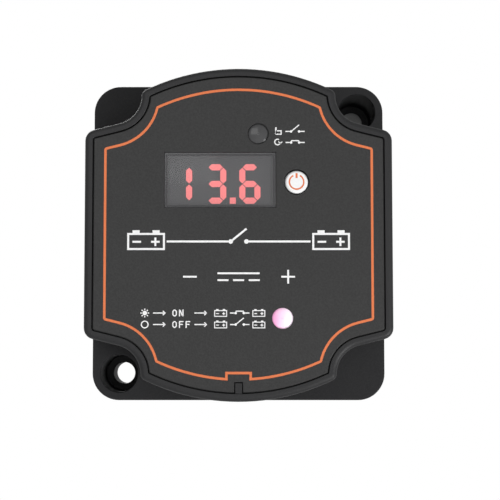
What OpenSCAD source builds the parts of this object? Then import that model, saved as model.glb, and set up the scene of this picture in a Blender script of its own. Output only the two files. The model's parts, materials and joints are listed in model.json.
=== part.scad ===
// Battery isolator relay with a voltage display.
// A rear block carries the terminals and the solenoid. A deep cover on it carries
// the circuit board and the front panel, and every inner piece is a solid of its own.
// Each piece is drawn lying on its back, z pointing from the mounting plane to the viewer,
// and then stood upright: x to the right, z up, mounting plane at y = 0. Sizes are in mm.

/* [Casing] */
// Width of the casing
body_w = 68; // [62:0.5:80]
// Height of the casing from crown to crown
body_h = 73.7; // [64:0.1:86]
// Depth of the casing from the mounting plane to the front rim
body_d = 53; // [52:0.5:64]
// Depth of the rear block with the mounting corners
base_d = 28.5; // [28:0.5:30]
// Corner radius of the rear block, and distance of a mounting hole from both its sides
ear_r = 6.2; // [6:0.1:7]
// Radius of the crowned top and bottom edges
crown_r = 47.5; // [45:0.5:60]
// Slope of the shoulders beside the mounting corners, in degrees
shoulder_slope = 14; // [8:1:18]
// Wall thickness of the casing
wall = 2.2; // [2:0.1:2.5]
// Rounding of the front edge of the cover
edge_r = 1.1; // [0.6:0.1:1.3]

/* [Mounting] */
// Radius of the two mounting holes
mount_hole_r = 2.6; // [2:0.1:3]
// Radius of the recess for the head of a mounting screw
mount_head_r = 4.35; // [3.8:0.05:4.5]
// Height of the seat of that head above the mounting plane
mount_seat_z = 12; // [8:0.5:16]

/* [Front panel] */
// Distance from the side of the casing to the joint round the face plate
rim_w = 2; // [1.8:0.1:2.4]
// Thickness of the face plate
face_t = 1.3; // [1:0.1:1.8]
// Thickness of the wall behind the face plate
panel_t = 2; // [1.6:0.1:2.4]
// Width of the display window
window_w = 24.4; // [22:0.1:27]
// Height of the display window
window_h = 12.1; // [11:0.1:14]
// Sideways place of the middle of the window
window_x = -4.04; // [-5.5:0.01:-3.9]
// Height of the middle of the window above the middle of the panel
window_y = 11.8; // [10:0.1:12.5]
// Radius of the push button
button_r = 2.5; // [2:0.1:2.8]
// Sideways place of the push button
button_x = 12.7; // [12.6:0.1:15]
// Travel of the push button
button_travel = 0.5; // [0.3:0.05:0.6]
// Radius of the two signal lamps
lamp_r = 2.25; // [1.8:0.05:2.6]
// Sideways place of the mode lamp above the window
mode_lamp_x = 4.3; // [2:0.1:8]
// Height of the mode lamp
mode_lamp_y = 22; // [21.5:0.1:24]
// Sideways place of the status lamp in the lower half
status_lamp_x = 9.6; // [8:0.1:12]
// Height of the status lamp, below the middle
status_lamp_y = -18.5; // [-22:0.1:-15]

/* [Terminals] */
// Radius of the terminal studs
stud_r = 4; // [3:0.5:4]
// Width across the flats of the terminal nuts
nut_af = 13; // [12:0.5:13.5]
// Height of the terminal nuts
nut_h = 6.5; // [5:0.1:7]
// Radius of the flat washers
washer_r = 8; // [7.5:0.1:8.4]
// Length of the free end of a stud, beyond its nut
stud_free_l = 4.8; // [4:0.1:5.5]
// Length of the terminal bays along the side of the casing
bay_l = 30; // [28:0.5:32]
// Depth of the terminal bays from the mounting plane
bay_d = 16; // [15.5:0.1:16.5]
// Width of the cable notch in the side wall of a bay
notch_w = 16; // [12:0.5:18]
// Thickness of the floor between a terminal bay and the contact chamber
floor_t = 3; // [2.6:0.1:3.4]

/* [Contacts] */
// Gap between the open contacts
contact_gap = 1.6; // [1.3:0.1:1.8]
// Further travel of the plunger once the contacts meet
overtravel = 0.5; // [0.3:0.05:0.6]
// Radius of the contact tips
tip_r = 3.5; // [3:0.1:4]
// Width of the contact bridge
bridge_w = 12; // [10:0.5:13]
// Thickness of the contact bridge
bridge_t = 2.5; // [2:0.1:2.8]

/* [Solenoid] */
// Radius of the bobbin's flanges
bobbin_r = 9.8; // [9:0.1:10]
// Radius of the plunger
plunger_r = 4; // [3.5:0.1:4.2]
// Thickness of the iron yoke
yoke_t = 1.5; // [1.3:0.1:1.6]
// Height of the coil bobbin
bobbin_h = 15; // [14:0.1:15.4]
// Wire thickness of the return spring
return_wire = 0.5; // [0.4:0.05:0.55]
// Wire thickness of the contact spring
contact_wire = 0.7; // [0.6:0.05:0.75]
// Length of the contact spring with the contacts open
contact_spring_l = 4.3; // [4.1:0.1:4.6]

/* [Circuit board] */
// Thickness of the circuit board
board_t = 1.6; // [1:0.1:1.6]
// Width of the display module
display_w = 22.5; // [21:0.1:22.8]
// Height of the display module
display_h = 14; // [13:0.1:14.5]
// Depth of the display module
display_d = 7.2; // [6.9:0.1:7.4]
// Height of a digit
digit_h = 8.9; // [8:0.1:9.4]

/* [Hidden] */
$fn = 48;

// Extra length of every cut, so that it runs clear of the face it opens
over = 1;
// Gaps between pieces: slipped together, dropped in with room, and moving past each other
snug = 0.05;
loose = 0.15;
running = 0.3;

// Outline of the casing: roundings where a shoulder meets the side, and the crown
side_round = 2.7;
crown_round = 1.8;
least_round = 0.4;
round_steps = 5;
hollow_steps = 10;
crown_steps = 24;
edge_steps = 5;
ear = [body_w / 2 - ear_r, body_h / 2 - ear_r];
crown_centre = [0, body_h / 2 - crown_r];
// How far the cover narrows from its rear edge to its front, from the draft of its mould
cover_draft = 0.25;

// Seal between the rear block and the cover, and the locating lip inside it
gasket_t = 0.6;
gasket_edge = 0.3;
lip_t = 1.2;
lip_h = 2.5;
skirt_z = base_d + gasket_t;
chamber_z = bay_d + floor_t;
chamber_inset = wall + loose + lip_t;

// Front panel: the plate lies a little below the rim, on the panel wall
plate_sink = 0.1;
plate_gap = 0.2;
plate_chamfer = 0.2;
face_z = body_d - plate_sink;
panel_z = face_z - face_t;
panel_back_z = panel_z - panel_t;
tab_w = 1.55;
tab_l = 2.35;
window_ledge = 0.75;
window_sink = 0.1;
button_y_share = 0.04;
button_y = window_y - button_y_share * window_h;

// Screws that hold the cover from the rear
screw_from_ear = 12.8;
screw_x = ear.x - screw_from_ear;
screw_r = 1.5;
screw_head_r = 2.75;
screw_head_h = 2;
screw_grip = 8;
boss_r = 3.25;
boss_sink = 0.3;
screw_y = crown_y(screw_x, chamber_inset) - boss_r + boss_sink;

// Hollow cells in the back of the rear block
cell_columns = 8;
cell_rows = 3;
cell_d = bay_d - floor_t;
rib_t = 1.6;
ear_core_r = 3.4;

// Well for the solenoid, between the two terminal bays, and the iron yoke in it
well_side_room = 0.5;
well_end_room = 0.7;
pin_lane = 2.3;
yoke_leg_t = 2;
yoke_tab_w = 6;
yoke_l = 2 * (bobbin_r + well_end_room + yoke_leg_t);
well_w = 2 * (bobbin_r + well_side_room);
yoke_w = well_w - 2 * pin_lane;
well_l = yoke_l + 2 * well_end_room;
spine_w = well_w + 2 * rib_t;
bay_round = 1.5;
bay_x0 = spine_w / 2;
bay_x1 = body_w / 2 - wall;
stud_x = (bay_x0 + bay_x1) / 2;
notch_d = bay_d - 2 * rib_t;

// Terminal stud with its hardware, from the floor of the bay to the mounting plane
stud_head_r = 6.5;
stud_head_h = 3.4;
stud_relief = 0.3;
stud_chamfer = 0.8;
washer_t = 1.6;
spring_washer_t = 2.1;
spring_washer_r = 6.4;
spring_washer_slit = 0.8;
spring_washer_lean = 25;
washer_z = bay_d - washer_t;
spring_washer_z = washer_z - spring_washer_t;
nut_z = spring_washer_z - nut_h;
stud_tip_z = nut_z - stud_free_l;
nut_chamfer = 0.6;
strip_t = 0.6;
strip_w = 3;
strip_ring_r = 6;
strip_y = 9;
stud_head_z = chamber_z + strip_t;
tip_t = 0.8;
tip_chamfer = 0.2;
contact_z = stud_head_z + stud_head_h + tip_t;

// Moving stack: carrier, bridge, insulating washer, contact spring and clip
bridge_z = contact_z + contact_gap + tip_t;
bridge_l = 2 * (stud_x + tip_r + tip_t);
bridge_round = 2;
plunger_travel = contact_gap + overtravel;
carrier_t = 1.5;
carrier_r = 6.5;
sleeve_r = 2.9;
sleeve_l = 1.5;
carrier_z = bridge_z - carrier_t;
shaft_r = 2;
shaft_grip = 5;
insulator_t = 1;
insulator_r = 5.6;
contact_spring_z = bridge_z + bridge_t + insulator_t;
clip_t = 0.8;
clip_r = 5;
clip_slot = 3;
groove_depth = 0.4;
clip_z = contact_spring_z + contact_spring_l;
shaft_end = 1.2;
guide_l = 3;
guide_t = 1.5;

// Solenoid: heights of the yoke, bobbin, fixed pole and plunger
yoke_z = wall;
bobbin_z = yoke_z + yoke_t;
yoke_top_z = bobbin_z + bobbin_h;
spring_seat_z = yoke_top_z + yoke_t;
flange_t = 1;
tube_t = 0.9;
tube_bore_r = plunger_r + running;
tube_r = tube_bore_r + tube_t;
winding_sink = 1.2;
pole_h = 5;
pole_stem_r = 2;
air_gap = 0.1;
plunger_z = bobbin_z + pole_h + plunger_travel + air_gap;
yoke_screw_y = 9;
yoke_screw_r = 1.25;
yoke_screw_head_r = 2.4;
pin_r = 0.4;
pin_y = 8;
pin_tab_w = 1.8;
pin_tab_l = 2.4;
pin_x = well_w / 2 - loose - pin_tab_w / 2;

// Springs: mean radius, turns, and the fineness of the coiled tube
spring_room = 1;
return_r = plunger_r + spring_room + return_wire / 2;
return_l = carrier_z - spring_seat_z;
return_turns = 3.5;
contact_r = sleeve_r + spring_room + contact_wire / 2;
contact_turns = 3;
rings_per_turn = 8;
tube_sides = 6;

// Circuit board, hung on four posts behind the panel wall
display_gap = 0.2;
display_z = panel_back_z - display_gap - display_d;
board_z = display_z - board_t;
board_inset = 3.6;
boss_gap = 0.5;
post_from_side = 10;
post_from_ear = 16.65;
post_x = body_w / 2 - post_from_side;
post_y = ear.y - post_from_ear;
post_r = 2.5;
post_screw_r = 1.1;
post_screw_head_r = 2;
post_screw_head_h = 1.4;
post_screw_grip = 5;
lead_r = 0.25;
lead_hole_r = 0.4;
lead_out = 1.2;

// Display: three digits, the parts of each that are lit, and one point
digit_w_share = 0.54;
digit_pitch_share = 0.85;
segment_w_share = 0.164;
first_digit_share = 0.965;
digit_drop_share = 0.055;
digit_w = digit_w_share * digit_h;
digit_pitch = digit_pitch_share * digit_h;
segment_w = segment_w_share * digit_h;
segment_gap = 0.12;
segment_d = 0.4;
point_w = segment_w;
lit_parts = ["bc", "abcdg", "acdefg"];
first_digit_x = window_x - first_digit_share * digit_h;
digit_y = window_y - digit_drop_share * digit_h;
point_x = first_digit_x + digit_pitch + (digit_pitch / 2);
display_pins = 6;
display_pin_pitch = 2.54;
display_pin_y = 5.08;

// Push button on its switch
switch_w = 6;
switch_h = 3.5;
button_flange = 1.25;
button_flange_t = 1;
button_round = 0.3;
button_flange_z = panel_back_z - button_flange_t - display_gap;
switch_plunger_r = 1.75;
switch_bore_d = 1.8;

// Signal lamps: lenses in the panel, each over a small lamp on the board
lens_flange = 0.75;
lens_flange_t = 1;
lens_crown = 0.5;
led_r = 1.5;
led_flange_r = 1.9;
led_flange_t = 1;
led_h = 5.3;
led_lead_pitch = 1.27;

// Small parts on the back of the board: centre and size of each
chip_from_post = [-8, -4];
chip = [post_x + chip_from_post.x, chip_from_post.y];
chip_size = [3.9, 8.7, 1.5];
chip_legs = 7;
chip_leg_pitch = 1.27;
chip_leg = [1.05, 0.4, 0.25];
driver_from_post = [5, 2];
driver = [driver_from_post.x - post_x, driver_from_post.y];
driver_size = [6.6, 6.1, 2.3];
driver_tab = [5.4, 3, 0.9];
diode_from_post = 6;
diode_from_screw = 7.7;
diode = [diode_from_post - post_x, screw_y - diode_from_screw];
diode_size = [4.3, 2.6, 2.1];
diode_end = [0.5, 1.6, 0.9];
capacitor_from_post = 6;
capacitor_at = [capacitor_from_post - post_x, -post_y];
capacitor_r = 3.15;
capacitor_h = 5.2;
capacitor_foot = [6.6, 6.6, 0.8];
resistor_from_post = [-12, -3];
resistor_first = [post_x + resistor_from_post.x, resistor_from_post.y - post_y];
resistor_size = [1.25, 2, 0.5];
resistor_pitch = 2.6;
resistor_count = 5;

// Inlet for the negative lead in the bottom wall, and its grommet
inlet_t = 5.2;
inlet_boss_w = 11;
inlet_z = (chamber_z + base_d) / 2;
grommet_room = 0.55;
grommet_neck_share = 0.7143;
grommet_end_share = 0.9048;
grommet_bore_share = 0.381;
grommet_head_r = (base_d - chamber_z) / 2 - grommet_room;
grommet_r = grommet_neck_share * grommet_head_r;
grommet_end_r = grommet_end_share * grommet_head_r;
grommet_bore_r = grommet_bore_share * grommet_head_r;
grommet_head_t = 1.4;
grommet_end_t = 1;

// Height of the crowned edge at a place x, for an outline drawn in by inset
function crown_y(x, inset) = crown_centre.y + sqrt((crown_r - inset) ^ 2 - x ^ 2);

// Points along an arc, from one angle to another
function arc(centre, r, from, to, steps) =
    [for (i = [0:steps]) centre + r * unit_vector(from + (to - from) * i / steps)];
function unit_vector(angle) = [cos(angle), sin(angle)];
function reversed(list) = [for (i = [len(list) - 1:-1:0]) list[i]];
function without_first(list) = [for (i = [1:len(list) - 1]) list[i]];
function without_ends(list) = [for (i = [1:len(list) - 2]) list[i]];

// The meeting point of two circles that lies to the left of the line from p to q
function circles_meet(p, p_r, q, q_r) =
    let (
        apart = norm(q - p),
        along = (q - p) / apart,
        reach = (p_r ^ 2 - q_r ^ 2 + apart ^ 2) / (2 * apart),
        aside = sqrt(p_r ^ 2 - reach ^ 2)
    )
    p + reach * along + aside * [-along.y, along.x];

// A quarter of the casing's outline, drawn in by inset: the rounding above the side,
// the sloped shoulder, the hollow round the mounting corner and the rounding at the crown
function shortened(r, inset) = max(r - inset, least_round);
function crown_corner(inset) =
    let (r = shortened(crown_round, inset))
    circles_meet(crown_centre, crown_r - inset - r, ear, ear_r + inset + r);
function direction(from, to) = atan2(to.y - from.y, to.x - from.x);
function corner_path(inset) =
    let (
        hollow_r = ear_r + inset,
        slope_angle = 270 - shoulder_slope,
        normal = unit_vector(slope_angle),
        slope_end = ear + hollow_r * normal,
        side_r = shortened(side_round, inset),
        side_x = body_w / 2 - inset - side_r,
        side_y = slope_end.y + (side_r - (side_x - slope_end.x) * normal.x) / normal.y,
        crown_r2 = shortened(crown_round, inset),
        crown_c = crown_corner(inset)
    )
    concat(
        arc([side_x, side_y], side_r, 0, 90 - shoulder_slope, round_steps),
        arc(ear, hollow_r, slope_angle, 180 + direction(crown_c, ear), hollow_steps),
        without_first(arc(crown_c, crown_r2, direction(crown_c, ear),
            direction(crown_centre, crown_c), round_steps)));
function crown_path(inset) =
    let (start = direction(crown_centre, crown_corner(inset)))
    without_ends(arc(crown_centre, crown_r - inset, start, 180 - start, crown_steps));

// The whole outline, counterclockwise
function outline(inset) =
    let (quarter = corner_path(inset), top = crown_path(inset))
    concat(
        quarter,
        top,
        reversed([for (p = quarter) [-p.x, p.y]]),
        [for (p = quarter) [-p.x, -p.y]],
        [for (p = top) [-p.x, -p.y]],
        reversed([for (p = quarter) [p.x, -p.y]]));

// A solid through outlines at rising heights; each level is [height, inset].
// Its flat ends are closed by strips between points at the same height left and right.
module loft(levels) {
    n = len(outline(0));
    half = n / 2;
    top_middle = len(corner_path(0)) + crown_steps / 2 - 1;
    right = [for (k = [0:half]) (top_middle - k + n) % n];
    left = [for (k = [0:half]) (top_middle + k) % n];
    last = (len(levels) - 1) * n;
    polyhedron(
        points = [for (level = levels) for (p = outline(level[1])) [p.x, p.y, level[0]]],
        faces = concat(
            [for (k = [0:half - 2]) [right[k], left[k + 1], right[k + 1]]],
            [for (k = [1:half - 1]) [right[k], left[k], left[k + 1]]],
            [for (k = [0:half - 2]) [last + right[k], last + right[k + 1], last + left[k + 1]]],
            [for (k = [1:half - 1]) [last + right[k], last + left[k + 1], last + left[k]]],
            [for (from = [0:n:last - n]) for (i = [0:n - 1])
                [from + i, from + n + i, from + n + (i + 1) % n]],
            [for (from = [0:n:last - n]) for (i = [0:n - 1])
                [from + i, from + n + (i + 1) % n, from + (i + 1) % n]]));
}

// A block with the casing's outline between two heights
module slab(from, to, inset) {
    translate([0, 0, from])
        linear_extrude(to - from)
            polygon(outline(inset));
}

// Stands a piece upright, with its front towards the viewer
module upright() {
    rotate([90, 0, 0])
        children();
}

// A round rod, hole or ring along z between two heights
module rod(r, from, to) {
    translate([0, 0, from])
        cylinder(r = r, h = to - from);
}
module ring(outer, inner, from, to) {
    difference() {
        rod(outer, from, to);
        rod(inner, from - over, to + over);
    }
}

// A box centred on x and y, between two heights
module block(w, l, from, to) {
    translate([-w / 2, -l / 2, from])
        cube([w, l, to - from]);
}
module rounded_rect(w, l, r) {
    square([w - 2 * r, l], center = true);
    square([w, l - 2 * r], center = true);
    for (sx = [-1, 1], sy = [-1, 1])
        translate([sx * (w / 2 - r), sy * (l / 2 - r)])
            circle(r);
}

// Copies at mirrored places
module both_sides() {
    for (s = [-1, 1])
        translate([s * stud_x, 0, 0])
            children();
}
module four_places(x, y) {
    for (sx = [-1, 1], sy = [-1, 1])
        translate([sx * x, sy * y, 0])
            children();
}
module mounting_corners() {
    for (s = [-1, 1])
        translate([s * ear.x, s * ear.y, 0])
            children();
}
module plain_corners() {
    for (s = [-1, 1])
        translate([-s * ear.x, s * ear.y, 0])
            children();
}

// Rear block: terminal bays, solenoid well, contact chamber, screw columns and lip
module base() {
    upright()
        color("#262627")
            difference() {
                union() {
                    base_shell();
                    base_columns();
                    bridge_guides();
                    inlet_boss();
                }
                base_bores();
            }
}
module base_shell() {
    difference() {
        union() {
            linear_extrude(base_d)
                rounded_rect(body_w, body_h, ear_r);
            base_lip();
        }
        slab(chamber_z, base_d + lip_h + over, chamber_inset);
        block(well_w, well_l, wall, chamber_z + over);
        for (s = [-1, 1])
            terminal_bay(s);
        cells();
    }
}
module base_lip() {
    difference() {
        slab(base_d - over, base_d + lip_h, wall + loose);
        four_places(screw_x, screw_y)
            rod(boss_r + running, base_d, base_d + lip_h + over);
    }
}
module terminal_bay(side) {
    bay_w = bay_x1 - bay_x0;
    translate([side * stud_x, 0, -over])
        linear_extrude(bay_d + over)
            rounded_rect(bay_w, bay_l, bay_round);
    translate([side * (bay_x1 - over), 0, notch_d - notch_w / 2])
        rotate([0, side * 90, 0])
            cylinder(r = notch_w / 2, h = wall + 2 * over);
    translate([side * (bay_x1 + wall / 2), 0, 0])
        block(wall + 2 * over, notch_w, -over, notch_d - notch_w / 2);
}
module cells() {
    inner_w = body_w - 2 * wall;
    rows_y0 = bay_l / 2 + wall;
    pitch_x = (inner_w + rib_t) / cell_columns;
    pitch_y = (body_h / 2 - wall - rows_y0 + rib_t) / cell_rows;
    translate([0, 0, -over])
        linear_extrude(cell_d + over)
            difference() {
                intersection() {
                    rounded_rect(inner_w, body_h - 2 * wall, ear_r - wall);
                    for (i = [0:cell_columns - 1], j = [0:cell_rows - 1], s = [-1, 1])
                        translate([
                            (i - (cell_columns - 1) / 2) * pitch_x,
                            s * (rows_y0 + j * pitch_y + (pitch_y - rib_t) / 2)])
                            square([pitch_x - rib_t, pitch_y - rib_t], center = true);
                }
                for (sx = [-1, 1], sy = [-1, 1]) {
                    translate([sx * screw_x, sy * screw_y])
                        circle(screw_head_r + running + rib_t);
                    translate([sx * ear.x, sy * ear.y])
                        circle(mount_head_r + rib_t);
                }
            }
}
module base_columns() {
    four_places(screw_x, screw_y)
        rod(boss_r, chamber_z - over, base_d);
}
module bridge_guides() {
    for (sx = [-1, 1], sy = [-1, 1])
        translate([
            sx * (spine_w / 2 + guide_l / 2),
            sy * (bridge_w / 2 + running + guide_t / 2),
            0])
            block(guide_l, guide_t, chamber_z - over, bridge_z + bridge_t);
}
module inlet_boss() {
    translate([0, inlet_t - body_h / 2, 0])
        difference() {
            block(inlet_boss_w, 2 * (inlet_t - wall), chamber_z - over, base_d);
            translate([0, inlet_boss_w / 2, 0])
                block(inlet_boss_w + over, inlet_boss_w, chamber_z - 2 * over, base_d + over);
        }
}
module base_bores() {
    mounting_corners() {
        rod(mount_hole_r, -over, base_d);
        rod(mount_head_r, mount_seat_z, base_d + over);
    }
    plain_corners()
        rod(ear_core_r, -over, cell_d);
    four_places(screw_x, screw_y) {
        rod(screw_r + 4 * snug, 0, base_d + over);
        rod(screw_head_r + running, -over, bay_d);
    }
    both_sides()
        rod(stud_r + 2 * snug, 0, chamber_z + over);
    for (s = [-1, 1])
        translate([0, s * yoke_screw_y, 0]) {
            rod(yoke_screw_r + snug, 0, wall + over);
            rotate_extrude()
                polygon([[0, -over], [yoke_screw_head_r + over, -over],
                    [yoke_screw_r, yoke_screw_head_r - yoke_screw_r], [0, wall]]);
        }
    translate([0, -body_h / 2, inlet_z])
        rotate([-90, 0, 0]) {
            rod(grommet_head_r + snug, -over, grommet_head_t);
            rod(grommet_r + snug, 0, inlet_t + over);
        }
}

// Cover: one drafted shell with a rounded rim, the panel wall, screw bosses and board posts
module cover() {
    upright()
        color("#3b3b3d")
            difference() {
                union() {
                    cover_shell();
                    four_places(screw_x, screw_y)
                        rod(boss_r, base_d, panel_back_z + over);
                    four_places(post_x, post_y)
                        rod(post_r, display_z, panel_back_z + over);
                    translate([0, tab_l / 2 - body_h / 2 + rim_w, 0])
                        block(tab_w, tab_l, panel_back_z, face_z);
                }
                panel_openings();
                four_places(screw_x, screw_y)
                    rod(screw_r + snug, base_d - over, base_d + screw_grip + over);
                four_places(post_x, post_y)
                    rod(post_screw_r + snug, display_z - over, display_z + post_screw_grip + over);
            }
}
module cover_shell() {
    difference() {
        loft(concat(
            [[skirt_z, 0]],
            [for (i = [0:edge_steps])
                let (a = 90 * i / edge_steps)
                [body_d - edge_r + edge_r * sin(a), cover_draft + edge_r - edge_r * cos(a)]]));
        slab(skirt_z - over, panel_back_z, wall);
        slab(panel_z, body_d + over, rim_w);
    }
}
module panel_openings() {
    translate([window_x, window_y, 0])
        block(window_w - 2 * window_ledge, window_h - 2 * window_ledge,
            panel_back_z - over, panel_z + over);
    translate([button_x, button_y, 0])
        rod(button_r + running, panel_back_z - over, panel_z + over);
    at_mode_lamp()
        rod(lamp_r + loose, panel_back_z - over, panel_z + over);
    at_status_lamp()
        rod(lamp_r + loose, panel_back_z - over, panel_z + over);
}
module at_mode_lamp() {
    translate([mode_lamp_x, mode_lamp_y, 0])
        children();
}
module at_status_lamp() {
    translate([status_lamp_x, status_lamp_y, 0])
        children();
}

// Flat seal between the rear block and the cover
module gasket() {
    upright()
        color("#1b1b1b")
            difference() {
                slab(base_d, skirt_z, gasket_edge);
                slab(base_d - over, skirt_z + over, wall);
            }
}

// Face plate: lies in the rim with a fine joint all round
module face_plate() {
    upright()
        color("#404042")
            difference() {
                loft([
                    [panel_z, rim_w + plate_gap],
                    [face_z - plate_chamfer, rim_w + plate_gap],
                    [face_z, rim_w + plate_gap + plate_chamfer]]);
                translate([window_x, window_y, 0])
                    block(window_w + 2 * snug, window_h + 2 * snug, panel_z - over, face_z + over);
                translate([button_x, button_y, 0])
                    rod(button_r + running, panel_z - over, face_z + over);
                at_mode_lamp()
                    rod(lamp_r + snug, panel_z - over, face_z + over);
                at_status_lamp()
                    rod(lamp_r + snug, panel_z - over, face_z + over);
                translate([0, tab_l / 2 - body_h / 2 + rim_w, 0])
                    block(tab_w + 2 * plate_gap, tab_l + 2 * plate_gap, panel_z - over, face_z + over);
            }
}

// Clear parts of the panel
module display_window() {
    upright()
        color("#6a6a6c")
            translate([window_x, window_y, 0])
                block(window_w, window_h, panel_z, face_z - window_sink);
}
module lamp_lens() {
    crown_sphere_r = (lamp_r ^ 2 + lens_crown ^ 2) / (2 * lens_crown);
    intersection() {
        rod(lamp_r, panel_back_z - lens_flange_t, body_d);
        translate([0, 0, body_d - crown_sphere_r])
            sphere(crown_sphere_r, $fn = 96);
    }
}
module lamp_lens_foot() {
    rod(lamp_r + lens_flange, panel_back_z - lens_flange_t, panel_back_z);
    rod(lamp_r, panel_back_z - lens_flange_t, panel_back_z + panel_t);
}
module mode_lamp_lens() {
    upright()
        color("#4a4a4a")
            at_mode_lamp() {
                lamp_lens();
                lamp_lens_foot();
            }
}
module status_lamp_lens() {
    upright()
        color("#f3dfe4")
            at_status_lamp() {
                lamp_lens();
                lamp_lens_foot();
            }
}

// Push button and the switch under it
module power_button() {
    flange_r = button_r + button_flange;
    flange_top_z = button_flange_z + button_flange_t;
    upright()
        color("white")
            translate([button_x, button_y, 0])
                rotate_extrude()
                    polygon([
                        [0, button_flange_z],
                        [flange_r, button_flange_z],
                        [flange_r, flange_top_z],
                        [button_r, flange_top_z],
                        [button_r, body_d - button_round],
                        [button_r - button_round, body_d],
                        [0, body_d]]);
}
module switch_body() {
    top_z = display_z + switch_h;
    upright()
        color("#2f2f30")
            translate([button_x, button_y, 0])
                difference() {
                    block(switch_w, switch_w, display_z, top_z);
                    rod(switch_plunger_r + 2 * snug, top_z - switch_bore_d, top_z + over);
                }
}
module switch_plunger() {
    bottom_z = display_z + switch_h - switch_bore_d + button_travel + 2 * snug;
    upright()
        color("#8b3a34")
            translate([button_x, button_y, 0])
                rod(switch_plunger_r, bottom_z, button_flange_z);
}

// Circuit board with the holes for its screws, leads, pins and strips
module circuit_board() {
    upright()
        color("#1f5b3a")
            difference() {
                slab(board_z, display_z, board_inset);
                board_cut()
                    four_places(screw_x, screw_y)
                        circle(boss_r + boss_gap);
                board_cut()
                    four_places(post_x, post_y)
                        circle(post_screw_r + loose);
                board_cut()
                    display_pin_places()
                        circle(lead_hole_r);
                board_cut()
                    for (place = [[mode_lamp_x, mode_lamp_y], [status_lamp_x, status_lamp_y]])
                        translate(place)
                            led_lead_places()
                                circle(lead_hole_r);
                board_cut()
                    for (s = [-1, 1]) {
                        translate([pin_x, s * pin_y])
                            circle(pin_r + 2 * snug);
                        translate([s * stud_x, strip_y])
                            square([strip_w + 2 * loose, strip_t + 2 * loose], center = true);
                    }
            }
}
module board_cut() {
    translate([0, 0, board_z - over])
        linear_extrude(board_t + 2 * over)
            children();
}
module display_pin_places() {
    for (i = [0:display_pins - 1], s = [-1, 1])
        translate([
            window_x + (i - (display_pins - 1) / 2) * display_pin_pitch,
            window_y + s * display_pin_y])
            children();
}
module led_lead_places() {
    for (s = [-1, 1])
        translate([s * led_lead_pitch, 0])
            children();
}
module board_screws() {
    upright()
        color("#b9bcc0")
            four_places(post_x, post_y) {
                rod(post_screw_head_r, board_z - post_screw_head_h, board_z);
                rod(post_screw_r, board_z - post_screw_head_h, display_z + post_screw_grip);
            }
}

// Display module with pockets for its lit segments
module display_module() {
    front_z = display_z + display_d;
    upright()
        color("#2b2b2d") {
            difference() {
                translate([window_x, window_y, 0])
                    block(display_w, display_h, display_z, front_z);
                translate([0, 0, front_z - segment_d])
                    linear_extrude(segment_d + over)
                        lit_shape();
            }
            display_pin_places()
                rod(lead_r, board_z - lead_out, display_z + lead_r);
        }
}
module lit_segments() {
    upright()
        color("#ff8c8c")
            translate([0, 0, display_z + display_d - segment_d])
                linear_extrude(segment_d)
                    lit_shape();
}

// One bar of a digit, pointed at both ends
module bar(length) {
    half = (length - segment_gap) / 2;
    thick = segment_w / 2;
    polygon([[-half, 0], [-half + thick, thick], [half - thick, thick],
        [half, 0], [half - thick, -thick], [-half + thick, -thick]]);
}
module digit(parts) {
    across = digit_w - segment_w;
    down = (digit_h - segment_w) / 2;
    // Letter of each bar, its centre in halves of across and down, and its turn
    bars = [["a", [0, 2], 0], ["g", [0, 0], 0], ["d", [0, -2], 0],
        ["b", [1, 1], 90], ["c", [1, -1], 90], ["f", [-1, 1], 90], ["e", [-1, -1], 90]];
    for (b = bars)
        if (len(search(b[0], parts)) > 0)
            translate([b[1].x * across / 2, b[1].y * down / 2])
                rotate(b[2])
                    bar(b[2] == 0 ? across : down);
}
module lit_shape() {
    for (i = [0:len(lit_parts) - 1])
        translate([first_digit_x + i * digit_pitch, digit_y])
            digit(lit_parts[i]);
    translate([point_x, digit_y - (digit_h - point_w) / 2])
        square(point_w, center = true);
}

// Small lamp on two leads, seated on the board
module led() {
    dome_z = display_z + led_h - led_r;
    rod(led_flange_r, display_z, display_z + led_flange_t);
    rod(led_r, display_z, dome_z);
    translate([0, 0, dome_z])
        sphere(led_r);
    led_lead_places()
        rod(lead_r, board_z - lead_out, display_z + lead_r);
}
module mode_led() {
    upright()
        color("#f0c070")
            at_mode_lamp()
                led();
}
module status_led() {
    upright()
        color("#ff9aa5")
            at_status_lamp()
                led();
}

// Parts soldered to the back of the board
module on_board_back(place) {
    translate([place.x, place.y, board_z])
        mirror([0, 0, 1])
            children();
}
module controller_chip() {
    upright()
        color("#1c1c1e")
            on_board_back(chip) {
                block(chip_size.x, chip_size.y, chip_leg.z, chip_size.z);
                for (i = [0:chip_legs - 1], s = [-1, 1])
                    translate([
                        s * (chip_size.x + chip_leg.x) / 2,
                        (i - (chip_legs - 1) / 2) * chip_leg_pitch,
                        0]) {
                        block(chip_leg.x, chip_leg.y, 0, chip_leg.z);
                        translate([-s * (chip_leg.x - chip_leg.z) / 2, 0, 0])
                            block(chip_leg.z, chip_leg.y, 0, chip_size.z / 2);
                    }
            }
}
module coil_driver() {
    upright()
        color("#222224")
            on_board_back(driver) {
                block(driver_size.x, driver_size.y, 0, driver_size.z);
                translate([0, (driver_size.y + driver_tab.y) / 2, 0])
                    block(driver_tab.x, driver_tab.y, 0, driver_tab.z);
            }
}
module flyback_diode() {
    upright()
        color("#29292b")
            on_board_back(diode) {
                block(diode_size.x, diode_size.y, 0, diode_size.z);
                for (s = [-1, 1])
                    translate([s * (diode_size.x + diode_end.x) / 2, 0, 0])
                        block(diode_end.x, diode_end.y, 0, diode_end.z);
            }
}
module capacitor() {
    upright()
        color("#b8babd")
            on_board_back(capacitor_at) {
                block(capacitor_foot.x, capacitor_foot.y, 0, capacitor_foot.z);
                rod(capacitor_r, 0, capacitor_h);
            }
}
module resistors() {
    upright()
        color("#303438")
            for (i = [0:resistor_count - 1])
                on_board_back(resistor_first + [i * resistor_pitch, 0])
                    block(resistor_size.x, resistor_size.y, 0, resistor_size.z);
}

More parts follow.
